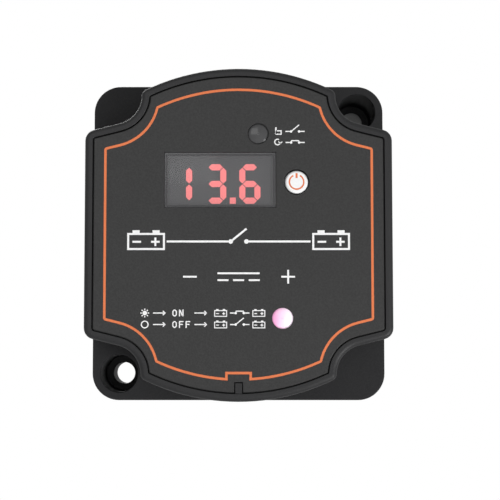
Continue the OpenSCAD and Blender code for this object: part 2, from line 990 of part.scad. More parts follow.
// Iron circuit of the solenoid: a U-shaped yoke, its top plate and the fixed pole
module yoke() {
    leg_y = yoke_l / 2 - yoke_leg_t / 2;
    upright()
        color("#9fa2a6")
            difference() {
                union() {
                    block(yoke_w, yoke_l, yoke_z, bobbin_z);
                    for (s = [-1, 1])
                        translate([0, s * leg_y, 0]) {
                            block(yoke_w, yoke_leg_t, yoke_z, yoke_top_z);
                            block(yoke_tab_w, yoke_leg_t, yoke_z, spring_seat_z);
                        }
                }
                rod(pole_stem_r + snug, yoke_z - over, bobbin_z + over);
                for (s = [-1, 1])
                    translate([0, s * yoke_screw_y, 0])
                        rod(yoke_screw_r + snug, yoke_z - over, bobbin_z + over);
            }
}
module yoke_plate() {
    leg_y = yoke_l / 2 - yoke_leg_t / 2;
    upright()
        color("#9fa2a6")
            difference() {
                block(yoke_w, yoke_l, yoke_top_z, spring_seat_z);
                rod(tube_bore_r, yoke_top_z - over, spring_seat_z + over);
                for (s = [-1, 1])
                    translate([0, s * (leg_y + over), 0])
                        block(yoke_tab_w + 2 * snug, yoke_leg_t + 2 * over + 2 * snug,
                            yoke_top_z - over, spring_seat_z + over);
            }
}
module yoke_screws() {
    cone_h = yoke_screw_head_r - yoke_screw_r;
    upright()
        color("#b9bcc0")
            for (s = [-1, 1])
                translate([0, s * yoke_screw_y, 0])
                    rotate_extrude()
                        polygon([[0, 2 * snug], [yoke_screw_head_r - 3 * snug, 2 * snug],
                            [yoke_screw_r, cone_h - snug], [yoke_screw_r, bobbin_z - snug],
                            [0, bobbin_z - snug]]);
}
module pole_piece() {
    upright()
        color("#a9acb0")
            union() {
                rod(tube_bore_r - 2 * snug, bobbin_z, bobbin_z + pole_h);
                rod(pole_stem_r, yoke_z, bobbin_z + over);
            }
}

// Coil: a moulded bobbin with two pin tabs, the winding, and pins up to the board
module coil_bobbin() {
    upright()
        color("#e6e1d3")
            difference() {
                union() {
                    rod(tube_r, bobbin_z, yoke_top_z);
                    rod(bobbin_r, bobbin_z, bobbin_z + flange_t);
                    rod(bobbin_r, yoke_top_z - flange_t, yoke_top_z);
                    for (s = [-1, 1])
                        pin_tab(s);
                }
                rod(tube_bore_r, bobbin_z - over, yoke_top_z + over);
                for (s = [-1, 1])
                    translate([pin_x, s * pin_y, 0])
                        rod(pin_r + snug, bobbin_z, yoke_top_z + over);
            }
}
module pin_tab(side) {
    reach = pin_x + pin_tab_w / 2;
    translate([reach / 2, side * pin_y, 0])
        block(reach, pin_tab_l, yoke_top_z - flange_t, yoke_top_z);
}
module coil_winding() {
    upright()
        color("#b5652b")
            ring(bobbin_r - winding_sink, tube_r + snug, bobbin_z + flange_t, yoke_top_z - flange_t);
}
module coil_pins() {
    upright()
        color("#c9b26a")
            for (s = [-1, 1])
                translate([pin_x, s * pin_y, 0])
                    rod(pin_r, yoke_top_z - flange_t - pin_r, display_z + 2 * pin_r);
}

// Moving core: the plunger, its shaft and the insulating carrier of the bridge
module plunger() {
    upright()
        color("#8f9296")
            difference() {
                rod(plunger_r, plunger_z, carrier_z);
                rod(shaft_r + snug, carrier_z - shaft_grip, carrier_z + over);
            }
}
module plunger_shaft() {
    end_z = clip_z + clip_t + shaft_end;
    upright()
        color("#c3c6ca")
            difference() {
                rod(shaft_r, carrier_z - shaft_grip, end_z);
                ring(shaft_r + over, shaft_r - groove_depth, clip_z, clip_z + clip_t);
            }
}
module carrier() {
    upright()
        color("#d8d4c4")
            difference() {
                union() {
                    rod(carrier_r, carrier_z, bridge_z);
                    rod(sleeve_r, carrier_z, bridge_z + bridge_t + sleeve_l);
                }
                rod(shaft_r + snug, carrier_z - over, bridge_z + bridge_t + sleeve_l + over);
            }
}
module retaining_clip() {
    upright()
        color("#7d8085")
            difference() {
                rod(clip_r, clip_z, clip_z + clip_t);
                rod(shaft_r - groove_depth + snug, clip_z - over, clip_z + clip_t + over);
                translate([0, clip_r / 2, 0])
                    block(clip_slot, clip_r + over, clip_z - over, clip_z + clip_t + over);
            }
}

// Contact bridge with its silver tips, kept off the spring by an insulating washer
module contact_bridge() {
    upright()
        color("#b87040")
            difference() {
                translate([0, 0, bridge_z])
                    linear_extrude(bridge_t)
                        rounded_rect(bridge_l, bridge_w, bridge_round);
                rod(sleeve_r + 2 * snug, bridge_z - over, bridge_z + bridge_t + over);
            }
}
module contact_tip(from, to, chamfer_up) {
    chamfer = chamfer_up ? tip_chamfer : 0;
    chamfer_low = chamfer_up ? 0 : tip_chamfer;
    rotate_extrude()
        polygon([[0, from], [tip_r - chamfer_low, from], [tip_r, from + chamfer_low],
            [tip_r, to - chamfer], [tip_r - chamfer, to], [0, to]]);
}
module moving_contacts() {
    upright()
        color("#d9dadc")
            both_sides()
                contact_tip(bridge_z - tip_t, bridge_z, false);
}
module insulating_washer() {
    upright()
        color("#caa36a")
            ring(insulator_r, sleeve_r + 2 * snug, bridge_z + bridge_t, contact_spring_z);
}

// A coiled wire between two heights, as one tube along a helix
function helix(r, turns, from, to, t) =
    [r * cos(360 * turns * t), r * sin(360 * turns * t), from + (to - from) * t];
module coil_spring(r, wire, turns, from, to) {
    rings = ceil(turns * rings_per_turn);
    low = from + wire / 2;
    high = to - wire / 2;
    polyhedron(
        points = [for (i = [0:rings]) for (k = [0:tube_sides - 1])
            let (
                turn = 360 * turns * i / rings,
                around = 360 * k / tube_sides,
                out = r + wire / 2 * cos(around)
            )
            [out * cos(turn), out * sin(turn), low + (high - low) * i / rings + wire / 2 * sin(around)]],
        faces = concat(
            [[for (k = [0:tube_sides - 1]) k]],
            [[for (k = [tube_sides - 1:-1:0]) rings * tube_sides + k]],
            [for (i = [0:rings - 1]) for (k = [0:tube_sides - 1])
                let (next = (k + 1) % tube_sides)
                [i * tube_sides + k, (i + 1) * tube_sides + k, (i + 1) * tube_sides + next]],
            [for (i = [0:rings - 1]) for (k = [0:tube_sides - 1])
                let (next = (k + 1) % tube_sides)
                [i * tube_sides + k, (i + 1) * tube_sides + next, i * tube_sides + next]]));
}
module return_spring() {
    echo(return_spring_gap = own_gap(return_r, return_wire, return_turns, return_l));
    upright()
        color("#c3c6ca")
            coil_spring(return_r, return_wire, return_turns, spring_seat_z, carrier_z);
}
module contact_spring() {
    echo(contact_spring_gap = own_gap(contact_r, contact_wire, contact_turns, contact_spring_l));
    upright()
        color("#c3c6ca")
            coil_spring(contact_r, contact_wire, contact_turns, contact_spring_z, clip_z);
}

// Least gap of a coil to itself, measured between points at least half a turn apart
function own_gap(r, wire, turns, l) =
    let (
        steps = ceil(turns * rings_per_turn),
        path = [for (i = [0:steps]) helix(r, turns, wire / 2, l - wire / 2, i / steps)],
        apart = ceil(rings_per_turn / 2)
    )
    min([for (i = [0:steps - apart]) for (j = [i + apart:steps]) norm(path[i] - path[j])]) - wire;

// Terminal studs with their heads in the contact chamber
module terminal_stud(side) {
    upright()
        color("#b08d4a")
            translate([side * stud_x, 0, 0])
                rotate_extrude()
                    polygon([
                        [0, stud_tip_z],
                        [stud_r - stud_chamfer, stud_tip_z],
                        [stud_r, stud_tip_z + stud_chamfer],
                        [stud_r, nut_z],
                        [stud_r - stud_relief, nut_z],
                        [stud_r - stud_relief, stud_head_z],
                        [stud_head_r, stud_head_z],
                        [stud_head_r, stud_head_z + stud_head_h],
                        [0, stud_head_z + stud_head_h]]);
}
module terminal_stud_left() {
    terminal_stud(-1);
}
module terminal_stud_right() {
    terminal_stud(1);
}
module fixed_contacts() {
    upright()
        color("#d9dadc")
            both_sides()
                contact_tip(contact_z - tip_t, contact_z, true);
}

// Strips that carry the voltage of each stud to the circuit board
module sense_strips() {
    upright()
        color("#c9b26a")
            both_sides()
                difference() {
                    union() {
                        rod(strip_ring_r, chamber_z, stud_head_z);
                        translate([0, strip_y / 2 + strip_t / 4, 0])
                            block(strip_w, strip_y + strip_t / 2, chamber_z, stud_head_z);
                        translate([0, strip_y, 0])
                            block(strip_w, strip_t, chamber_z, display_z + strip_t);
                    }
                    rod(stud_r + 2 * snug, chamber_z - over, stud_head_z + over);
                }
}

// Washers and nuts of the terminals
module terminal_washers() {
    upright()
        color("#c3c6ca")
            both_sides()
                ring(washer_r, stud_r + 4 * snug, washer_z, bay_d);
}
module spring_washers() {
    upright()
        color("#aeb1b5")
            both_sides()
                difference() {
                    ring(spring_washer_r, stud_r + 4 * snug, spring_washer_z, washer_z);
                    translate([spring_washer_r, 0, (spring_washer_z + washer_z) / 2])
                        rotate([spring_washer_lean, 0, 0])
                            cube([2 * (spring_washer_r - stud_r + over), spring_washer_slit,
                                4 * spring_washer_t], center = true);
                }
}
module terminal_nuts() {
    corner_r = nut_af / 2 / cos(30);
    upright()
        color("#b9bcc0")
            both_sides()
                difference() {
                    intersection() {
                        translate([0, 0, nut_z])
                            rotate(30)
                                cylinder(r = corner_r, h = nut_h, $fn = 6);
                        rotate_extrude()
                            polygon([
                                [0, nut_z],
                                [corner_r - 2 * nut_chamfer, nut_z],
                                [corner_r, nut_z + nut_chamfer],
                                [corner_r, nut_z + nut_h - nut_chamfer],
                                [corner_r - 2 * nut_chamfer, nut_z + nut_h],
                                [0, nut_z + nut_h]]);
                    }
                    rod(stud_r - stud_relief + snug, nut_z - over, nut_z + nut_h + over);
                }
}

// Long screws that hold the cover on the rear block
module case_screws() {
    upright()
        color("#8f9296")
            four_places(screw_x, screw_y) {
                rod(screw_head_r, bay_d - screw_head_h, bay_d);
                rod(screw_r, bay_d - screw_head_h, base_d + screw_grip);
            }
}

// Rubber grommet for the negative lead, in the bottom wall
module lead_grommet() {
    end = inlet_t + grommet_end_t;
    upright()
        color("#1b1b1b")
            translate([0, -body_h / 2, inlet_z])
                rotate([-90, 0, 0])
                    rotate_extrude()
                        polygon([
                            [grommet_bore_r, 0],
                            [grommet_head_r, 0],
                            [grommet_head_r, grommet_head_t],
                            [grommet_r, grommet_head_t],
                            [grommet_r, inlet_t],
                            [grommet_end_r, inlet_t],
                            [grommet_end_r, end],
                            [grommet_bore_r, end]]);
}

base();
cover();
gasket();
face_plate();
display_window();
mode_lamp_lens();
status_lamp_lens();
power_button();
circuit_board();
board_screws();
display_module();
lit_segments();
switch_body();
switch_plunger();
mode_led();
status_led();
controller_chip();
coil_driver();
flyback_diode();
capacitor();
resistors();
yoke();
yoke_screws();
yoke_plate();
pole_piece();
coil_bobbin();
coil_winding();
coil_pins();
plunger();
plunger_shaft();
carrier();
return_spring();
contact_bridge();
moving_contacts();
insulating_washer();
contact_spring();
retaining_clip();
terminal_stud_left();
terminal_stud_right();
fixed_contacts();
sense_strips();
terminal_washers();
spring_washers();
terminal_nuts();
case_screws();
lead_grommet();
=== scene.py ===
# %% [markdown]
# # Battery isolator relay
# A black moulded box, about as large as a palm, that joins two batteries while the engine charges
# and parts them when it stops. Its front carries a lit voltage display, a push button and two
# lamps. Its back carries two threaded terminals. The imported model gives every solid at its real
# size, and this lesson dresses it: finishes, printed lines, threads, windings, light and a camera.

# %% Load the frame
import json
import math

import bmesh
import bpy
from mathutils import Matrix, Vector

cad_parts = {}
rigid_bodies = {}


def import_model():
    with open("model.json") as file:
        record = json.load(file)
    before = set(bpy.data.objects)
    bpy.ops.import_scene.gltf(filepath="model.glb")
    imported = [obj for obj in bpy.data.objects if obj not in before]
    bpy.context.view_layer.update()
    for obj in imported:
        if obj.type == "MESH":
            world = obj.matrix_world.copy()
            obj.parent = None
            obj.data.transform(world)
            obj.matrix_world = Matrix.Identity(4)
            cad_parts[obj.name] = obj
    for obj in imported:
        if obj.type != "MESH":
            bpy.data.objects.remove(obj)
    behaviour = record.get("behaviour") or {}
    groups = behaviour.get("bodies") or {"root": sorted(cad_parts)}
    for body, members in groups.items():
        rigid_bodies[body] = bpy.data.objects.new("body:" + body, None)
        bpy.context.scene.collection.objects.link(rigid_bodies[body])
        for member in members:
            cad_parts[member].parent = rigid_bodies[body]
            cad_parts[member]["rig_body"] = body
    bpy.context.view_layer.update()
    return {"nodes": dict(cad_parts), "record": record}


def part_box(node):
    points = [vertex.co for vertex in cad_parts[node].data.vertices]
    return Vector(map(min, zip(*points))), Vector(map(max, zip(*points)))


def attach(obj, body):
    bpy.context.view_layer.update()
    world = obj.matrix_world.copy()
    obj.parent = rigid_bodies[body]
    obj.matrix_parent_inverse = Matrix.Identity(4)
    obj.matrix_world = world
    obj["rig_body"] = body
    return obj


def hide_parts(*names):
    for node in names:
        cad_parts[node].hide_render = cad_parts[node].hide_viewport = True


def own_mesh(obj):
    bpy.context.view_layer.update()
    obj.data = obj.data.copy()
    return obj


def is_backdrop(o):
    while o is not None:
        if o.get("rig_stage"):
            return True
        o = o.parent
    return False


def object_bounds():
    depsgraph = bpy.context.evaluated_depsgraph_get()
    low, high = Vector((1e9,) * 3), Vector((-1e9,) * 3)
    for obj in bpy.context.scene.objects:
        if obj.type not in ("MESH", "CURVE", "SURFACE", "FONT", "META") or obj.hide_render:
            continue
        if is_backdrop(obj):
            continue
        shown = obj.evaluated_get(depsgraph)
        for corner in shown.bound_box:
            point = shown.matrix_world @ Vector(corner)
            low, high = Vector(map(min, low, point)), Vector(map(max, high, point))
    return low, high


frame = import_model()
nodes = frame["nodes"]
scene = bpy.context.scene
MM = 0.001
slot_of = {entry["node"]: entry["material_slot"] for entry in frame["record"]["subparts"]}


def placed(name, data):
    """A new object at the origin that shows the data."""
    obj = bpy.data.objects.new(name, data)
    scene.collection.objects.link(obj)
    return obj


def middle(node):
    low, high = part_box(node)
    return (low + high) / 2


# %% [markdown]
# ## Camera
# The photograph was taken with a long lens from a little below the middle of the panel, looking
# slightly up, which is why the shelf of the rear block shows more at the bottom than at the top.
# The distance, tilt and focal length were fitted to the edges of the casing, front and rear.
# The picture isn't centred on the lens axis, so a small shift frames it.

# %% Camera
photo_px = 500
sensor_w = 36.0
camera_distance = 330 * MM
camera_tilt = math.radians(4.756)
focal_px = 1511.35
axis_px = (238.58, 233.46)
front_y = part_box("cover")[0].y

camera_data = bpy.data.cameras.new("photo_camera")
camera_data.sensor_width = sensor_w
camera_data.lens = focal_px * sensor_w / photo_px
camera_data.shift_x = (photo_px / 2 - axis_px[0]) / photo_px
camera_data.shift_y = (axis_px[1] - photo_px / 2) / photo_px
camera_data.clip_start = 0.01
camera = placed("photo_camera", camera_data)
camera.location = (
    0,
    front_y - camera_distance * math.cos(camera_tilt),
    -camera_distance * math.sin(camera_tilt),
)
camera.rotation_euler = (math.pi / 2 + camera_tilt, 0, 0)
scene.camera = camera
scene.view_settings.view_transform = "Standard"
print("lens", round(camera_data.lens, 1), "mm, shift", round(camera_data.shift_x, 4),
    round(camera_data.shift_y, 4))

# %% [markdown]
# ## Building finishes from nodes
# Every finish here is a Principled shader with a few layers on top: a noise that lifts and lowers
# the surface, one that varies the gloss, one that varies the tone. All of them read Object
# coordinates, and every object sits at the origin, so a pattern's scale is in real metres and
# stays put in every view. The first helpers add nodes to any tree, and the others add one layer
# each to a finish.

# %% Helpers for nodes
def feed(tree, socket, value):
    """Links a socket to another one, or sets it to a plain value."""
    if isinstance(value, bpy.types.NodeSocket):
        tree.links.new(value, socket)
    else:
        socket.default_value = value


def feed_all(tree, node, inputs):
    """Feeds a node's inputs by name, with _ for a space."""
    for key, value in inputs.items():
        feed(tree, node.inputs[key.replace("_", " ")], value)


def step(tree, kind, options=None, **inputs):
    """Adds a node, sets its options and feeds its inputs."""
    node = tree.nodes.new(kind)
    for key, value in (options or {}).items():
        setattr(node, key, value)
    feed_all(tree, node, inputs)
    return node


def calc(tree, operation, first, second):
    node = step(tree, "ShaderNodeMath", {"operation": operation})
    feed(tree, node.inputs[0], first)
    feed(tree, node.inputs[1], second)
    return node.outputs["Value"]


print("helpers for nodes ready")

# %% Helpers for finishes
finishes = {}


def linear(hex_colour):
    """A colour written as #rrggbb, in the linear values that shaders take."""
    parts = [int(hex_colour[i:i + 2], 16) / 255 for i in (1, 3, 5)]
    return [p / 12.92 if p <= 0.04045 else ((p + 0.055) / 1.055) ** 2.4 for p in parts] + [1.0]


def shade(made, **inputs):
    """Feeds the inputs of a finish's shader."""
    feed_all(made.node_tree, made.node_tree.nodes["Principled BSDF"], inputs)


def finish(name, colour, roughness, metallic=0.0, specular=0.5):
    """A new finish of one tone and gloss, which other helpers enrich."""
    made = bpy.data.materials.new(name)
    made.use_nodes = True
    shade(made, Base_Color=linear(colour), Roughness=roughness, Metallic=metallic,
        Specular_IOR_Level=specular)
    finishes[name] = made
    return made


def position(made):
    """The place on the object, in metres."""
    return step(made.node_tree, "ShaderNodeTexCoord").outputs["Object"]


def noise(made, size, detail=2.0, stretch=(1, 1, 1)):
    """A soft cloud whose lumps are about as large as size; stretch draws it out along an axis."""
    tree = made.node_tree
    place = step(tree, "ShaderNodeMapping", Vector=position(made), Scale=[1 / s for s in stretch])
    return step(tree, "ShaderNodeTexNoise", Vector=place.outputs["Vector"], Scale=1 / size,
        Detail=detail).outputs["Fac"]


def spread(made, value, low, high, out_low, out_high):
    """Stretches a value from one range to another, and holds it there."""
    return step(made.node_tree, "ShaderNodeMapRange", {"clamp": True}, Value=value,
        From_Min=low, From_Max=high, To_Min=out_low, To_Max=out_high).outputs["Result"]


def two_tones(made, factor, first, second):
    """Gives the finish a mix of two colours, and hands the mix back for other uses."""
    mixed = step(made.node_tree, "ShaderNodeMix", {"data_type": "RGBA"}, Factor=factor,
        A=linear(first), B=linear(second)).outputs["Result"]
    shade(made, Base_Color=mixed)
    return mixed


def uneven_gloss(made, size, low, high):
    shade(made, Roughness=spread(made, noise(made, size), 0.3, 0.7, low, high))


def relief(made, value, depth):
    """Lifts the surface by value times depth, on top of any relief that is there already."""
    tree = made.node_tree
    bump = step(tree, "ShaderNodeBump", Height=value, Distance=depth)
    earlier = tree.nodes["Principled BSDF"].inputs["Normal"].links
    if earlier:
        feed(tree, bump.inputs["Normal"], earlier[0].from_socket)
    shade(made, Normal=bump.outputs["Normal"])


def glow(made, colour, strength):
    shade(made, Emission_Color=linear(colour), Emission_Strength=strength)


print("helpers for finishes ready")

# %% [markdown]
# ## Moulded plastic
# The casing is glass-filled nylon from a spark-eroded mould: a fine, even grain about a quarter of
# a millimetre across, matt on the flats. The face plate is a moulding of its own with a coarser,
# deeper grain. A grain is too small to model, so a bump with its true size and depth does it, and
# a second, much larger noise keeps the gloss from being perfectly even.

# %% Moulded plastics
grain_size = 0.22 * MM
grain_depth = 0.012 * MM
patch_size = 6 * MM
patch_gloss = 0.015


def moulded(name, tone, lighter_tone, roughness, size=grain_size, depth=grain_depth, specular=0.5):
    made = finish(name, tone, roughness, specular=specular)
    grain = noise(made, size, detail=3.0)
    two_tones(made, spread(made, grain, 0.35, 0.7, 0, 1), tone, lighter_tone)
    relief(made, grain, depth)
    uneven_gloss(made, patch_size, roughness - patch_gloss, roughness + patch_gloss)
    return made


moulded("casing_black", "#272728", "#2d2d2e", 0.5, specular=0.12)
moulded("cover_grey", "#252526", "#2a2a2b", 0.46, specular=0.3)
moulded("panel_grey", "#202020", "#2a2a2a", 0.55, size=0.4 * MM, depth=0.05 * MM)
dark_moulding = moulded("dark_moulding", "#1d1d1f", "#242426", 0.5, 0.1 * MM, 0.001 * MM)
nylon_natural = moulded("nylon_natural", "#d5ccb4", "#ddd5bf", 0.42, 0.4 * MM, 0.004 * MM)
shade(nylon_natural, Subsurface_Weight=0.2, Subsurface_Radius=(0.6 * MM, 0.5 * MM, 0.4 * MM))
moulded("button_white", "#ececec", "#f2f2f2", 0.35, size=0.4 * MM, depth=0.003 * MM)
moulded("switch_red", "#8a3a31", "#934036", 0.4, size=0.2 * MM, depth=0.003 * MM)
moulded("seal_rubber", "#151515", "#1b1b1b", 0.7, 0.15 * MM, 0.006 * MM, specular=0.35)
moulded("fibre_board", "#a97c42", "#b98b50", 0.65, size=0.15 * MM, depth=0.008 * MM)
print("moulded plastics ready")

# %% [markdown]
# ## Clear and lit parts
# The display window is smoked acrylic: from the front it looks like a grey pane, and the red
# segments behind it show through. An alpha below 1 gives this and still lets the light in.
# The mode lamp is off, so its lens is a dark grey. The status lamp is lit, and its lens glows
# from pink at the left to almost white at the right. The segments are diffused red plastic
# with a lamp behind each.

# %% Clear and lit parts
window_smoke = finish("window_smoke", "#8c8c8e", 0.07)
shade(window_smoke, Alpha=0.25)
uneven_gloss(window_smoke, 5 * MM, 0.02, 0.05)

lamp_smoke = finish("lamp_smoke", "#444445", 0.12)
uneven_gloss(lamp_smoke, 2 * MM, 0.1, 0.16)

lamp_x = middle("status_lamp_lens").x
pink_x, pale_x = lamp_x - 1.7 * MM, lamp_x + 1.5 * MM
lamp_frost = finish("lamp_frost", "#f4e8ee", 0.25)
across = step(lamp_frost.node_tree, "ShaderNodeSeparateXYZ", Vector=position(lamp_frost))
pinks = two_tones(lamp_frost, spread(lamp_frost, across.outputs["X"], pink_x, pale_x, 0, 1),
    "#eaa3cc", "#f4e6f2")
shade(lamp_frost, Emission_Color=pinks, Emission_Strength=0.35)
relief(lamp_frost, noise(lamp_frost, 0.5 * MM), 0.004 * MM)

segment_red = finish("segment_red", "#d04a4a", 0.4)
glow(segment_red, "#ff8080", 1.2)
relief(segment_red, noise(segment_red, 0.3 * MM), 0.005 * MM)

led_clear = finish("led_clear", "#f0a49c", 0.2)
glow(led_clear, "#ffb0b0", 0.5)
relief(led_clear, noise(led_clear, 0.8 * MM), 0.004 * MM)
print("clear and lit parts ready")

# %% [markdown]
# ## Metals
# Zinc plate on the screws and nuts is bright, with a faint cloudiness. The soft iron of the
# solenoid is nickel plated and duller. Brass, copper and the silver tips differ in colour and
# gloss. Each gets a fine brushed relief drawn out along one axis, as stamping and turning leave it.

# %% Metals
brush_size = 0.08 * MM
brush_depth = 0.0025 * MM
cloud_size = 2.5 * MM
polish_size = 1.5 * MM


def metal(name, tone, second_tone, roughness, lines=(1, 6, 1)):
    made = finish(name, tone, roughness, metallic=1.0)
    cloud = noise(made, cloud_size, detail=4.0)
    two_tones(made, spread(made, cloud, 0.35, 0.65, 0, 1), tone, second_tone)
    relief(made, noise(made, brush_size, detail=3.0, stretch=lines), brush_depth)
    uneven_gloss(made, polish_size, roughness - 0.06, roughness + 0.08)
    return made


zinc_steel = metal("zinc_steel", "#b9bcc0", "#c6c9cb", 0.3)
metal("bright_steel", "#bfc2c5", "#cbcdd0", 0.24)
metal("plated_iron", "#a3a4a5", "#adaeaf", 0.38, lines=(6, 1, 1))
stud_brass = metal("stud_brass", "#c9ae72", "#d2b97e", 0.3)
tinned_brass = metal("tinned_brass", "#c4b78c", "#cdc199", 0.34, lines=(1, 1, 6))
metal("contact_copper", "#c07a52", "#ca865d", 0.34, lines=(6, 1, 1))
metal("silver_alloy", "#d4d4d6", "#dededf", 0.26)
metal("can_aluminium", "#c6c8ca", "#cfd1d3", 0.28)
enamelled_copper = metal("enamelled_copper", "#a3502a", "#b25c32", 0.25)
shade(enamelled_copper, Coat_Weight=0.6, Coat_Roughness=0.12)
print("metals ready")

# %% [markdown]
# ## Circuit board
# Green solder mask over glass cloth. The tracks under the mask show as slightly raised, lighter
# bands. A brick pattern with wide bricks gives bands of even width, like tracks on a
# hand-laid board, and the mask's gloss is high.

# %% Circuit board finish
track_w = 1.1 * MM
board_green = finish("board_green", "#1c4a30", 0.3)
plan = step(board_green.node_tree, "ShaderNodeMapping", Vector=position(board_green),
    Rotation=(math.pi / 2, 0, 0))
tracks = step(board_green.node_tree, "ShaderNodeTexBrick", {"offset": 0.37},
    Vector=plan.outputs["Vector"], Scale=1.0, Brick_Width=9 * MM, Row_Height=2 * track_w,
    Mortar_Size=0.25 * track_w, Mortar_Smooth=0.2).outputs["Fac"]
two_tones(board_green, tracks, "#1f5a39", "#173f29")
relief(board_green, tracks, -0.03 * MM)
relief(board_green, noise(board_green, 0.3 * MM), 0.003 * MM)
print("tracks", round(track_w / MM, 1), "mm wide")

# %% Give every solid its finish
for name, obj in nodes.items():
    obj.data.materials.clear()
    obj.data.materials.append(finishes[slot_of[name]])
print(len(finishes), "finishes, given to", len(nodes), "solids")

# %% [markdown]
# ## The outline, once more
# The printed line on the face plate runs parallel to the casing's edge. So its path comes from the
# same rule as the casing: crowned top and bottom, sloped shoulders, and hollows round the
# mounting corners, drawn in by a chosen inset. The sizes are read from the frame where they can be.

# %% Outline of the casing at any inset
half_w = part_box("base")[1].x
half_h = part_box("base")[1].z
corner_r = 6.2 * MM
crown_r = 47.5 * MM
shoulder_slope = math.radians(14)
side_round = 2.7 * MM
crown_round = 1.8 * MM
least_round = 0.4 * MM
ear = Vector((half_w - corner_r, half_h - corner_r))
crown_centre = Vector((0, half_h - crown_r))


def arc(centre, radius, start, end, steps):
    angles = [start + (end - start) * i / steps for i in range(steps + 1)]
    return [centre + radius * Vector((math.cos(a), math.sin(a))) for a in angles]


def circles_meet(p, p_r, q, q_r):
    """The meeting point of two circles that lies to the left of the line from p to q."""
    apart = (q - p).length
    along = (q - p) / apart
    reach = (p_r ** 2 - q_r ** 2 + apart ** 2) / (2 * apart)
    aside = math.sqrt(p_r ** 2 - reach ** 2)
    return p + reach * along + aside * Vector((-along.y, along.x))


def heading(start, end):
    return math.atan2(end.y - start.y, end.x - start.x)


def quarter_outline(inset, hollow_shift, crown_drop):
    hollow_c = ear + hollow_shift
    hollow_r = corner_r + inset
    slope_angle = 1.5 * math.pi - shoulder_slope
    normal = Vector((math.cos(slope_angle), math.sin(slope_angle)))
    slope_end = hollow_c + hollow_r * normal
    side_r = max(side_round - inset, least_round)
    side_x = half_w - inset - side_r
    side_y = slope_end.y + (side_r - (side_x - slope_end.x) * normal.x) / normal.y
    top_r = max(crown_round - inset, least_round)
    crown_inner = crown_r - inset - crown_drop
    top_c = circles_meet(crown_centre, crown_inner - top_r, hollow_c, hollow_r + top_r)
    into_hollow = heading(top_c, hollow_c)
    onto_crown = heading(crown_centre, top_c)
    shoulder = arc(Vector((side_x, side_y)), side_r, 0, math.pi / 2 - shoulder_slope, 6)
    hollow = arc(hollow_c, hollow_r, slope_angle, math.pi + into_hollow, 14)
    corner = arc(top_c, top_r, into_hollow, onto_crown, 6)[1:]
    crown = arc(crown_centre, crown_inner, onto_crown, math.pi / 2, 14)[1:]
    return shoulder + hollow + corner + crown


def outline(inset, hollow_shift=Vector((0, 0)), crown_drop=0.0):
    """The whole outline, counterclockwise from the right side, in x and z."""
    right_top = quarter_outline(inset, hollow_shift, crown_drop)
    left_top = [Vector((-p.x, p.y)) for p in reversed(right_top[:-1])]
    top = right_top + left_top
    return top + [Vector((-p.x, -p.y)) for p in top]


print("outline points:", len(outline(0)))

# %% [markdown]
# ## Printed lines and marks
# Screen print is a film of ink some hundredths of a millimetre thick. It is made here as thin
# solid strips, so it stays crisp at any distance and is part of the model's geometry. Every mark is
# drawn from strokes of even width with mitred corners, and ends up in one mesh for each colour.

# %% Strokes of ink
ink_t = 0.03 * MM
ink_merge = 0.001 * MM
ring_steps = 40
least_mitre = 0.35
face_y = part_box("face_plate")[0].y


def offset_path(points, shift, closed):
    """The path moved sideways by shift, with mitred corners."""
    count = len(points)
    moved = []
    for i, point in enumerate(points):
        before = points[i - 1] if closed or i > 0 else None
        after = points[(i + 1) % count] if closed or i < count - 1 else None
        directions = []
        if before is not None:
            directions.append((point - before).normalized())
        if after is not None:
            directions.append((after - point).normalized())
        normals = [Vector((-d.y, d.x)) for d in directions]
        mean = sum(normals, Vector((0, 0))).normalized()
        moved.append(point + mean * (shift / max(mean.dot(normals[0]), least_mitre)))
    return moved


class Ink:
    """Collects flat shapes in x and z and turns them into one thin solid on the panel."""

    def __init__(self):
        self.mesh = bmesh.new()

    def face(self, corners):
        points = [self.mesh.verts.new((p[0], 0, p[1])) for p in corners]
        self.mesh.faces.new(points)

    def stroke(self, points, width, closed=False):
        path = [Vector(p) for p in points]
        left = offset_path(path, width / 2, closed)
        right = offset_path(path, -width / 2, closed)
        last = len(path) if closed else len(path) - 1
        for i in range(last):
            j = (i + 1) % len(path)
            self.face([right[i], right[j], left[j], left[i]])

    def disc(self, centre, radius, steps):
        self.face(arc(Vector(centre), radius, 0, 2 * math.pi, steps)[:-1])

    def ring(self, centre, radius, width, start=0.0, end=360.0):
        path = arc(Vector(centre), radius, math.radians(start), math.radians(end), ring_steps)
        if end - start == 360.0:
            self.stroke(path[:-1], width, closed=True)
        else:
            self.stroke(path, width)

    def piece(self, name, made, y, body):
        """Thickens the shapes by ink_t towards the viewer and lets them ride on a body."""
        bmesh.ops.remove_doubles(self.mesh, verts=self.mesh.verts, dist=ink_merge)
        flat = list(self.mesh.faces)
        for face in flat:
            face.normal_update()
            if face.normal.y > 0:
                face.normal_flip()
        for vertex in self.mesh.verts:
            vertex.co.y = y
        top = bmesh.ops.extrude_face_region(self.mesh, geom=flat, use_keep_orig=True)
        for element in top["geom"]:
            if isinstance(element, bmesh.types.BMVert):
                element.co.y = y - ink_t
        for face in flat:
            face.normal_flip()
        bmesh.ops.recalc_face_normals(self.mesh, faces=self.mesh.faces)
        return finished(name, self.mesh, made, body)


print("ink is", round(ink_t / MM, 3), "mm thick")

# %% From a mesh to a piece on its body
def plain_data(name, mesh, made):
    """Turns a bmesh into mesh data with its finish."""
    data = bpy.data.meshes.new(name)
    mesh.to_mesh(data)
    mesh.free()
    data.materials.append(made)
    return data


def assigned(obj, body, replaced):
    """Lets a piece ride on its body, and shows it in place of a solid where one is named."""
    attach(obj, body)
    if replaced:
        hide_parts(replaced)
    return obj


def finished(name, mesh, made, body, replaced=None):
    """Turns a bmesh into a piece with its finish, on its body."""
    return assigned(placed(name, plain_data(name, mesh, made)), body, replaced)


print("helpers for pieces ready")

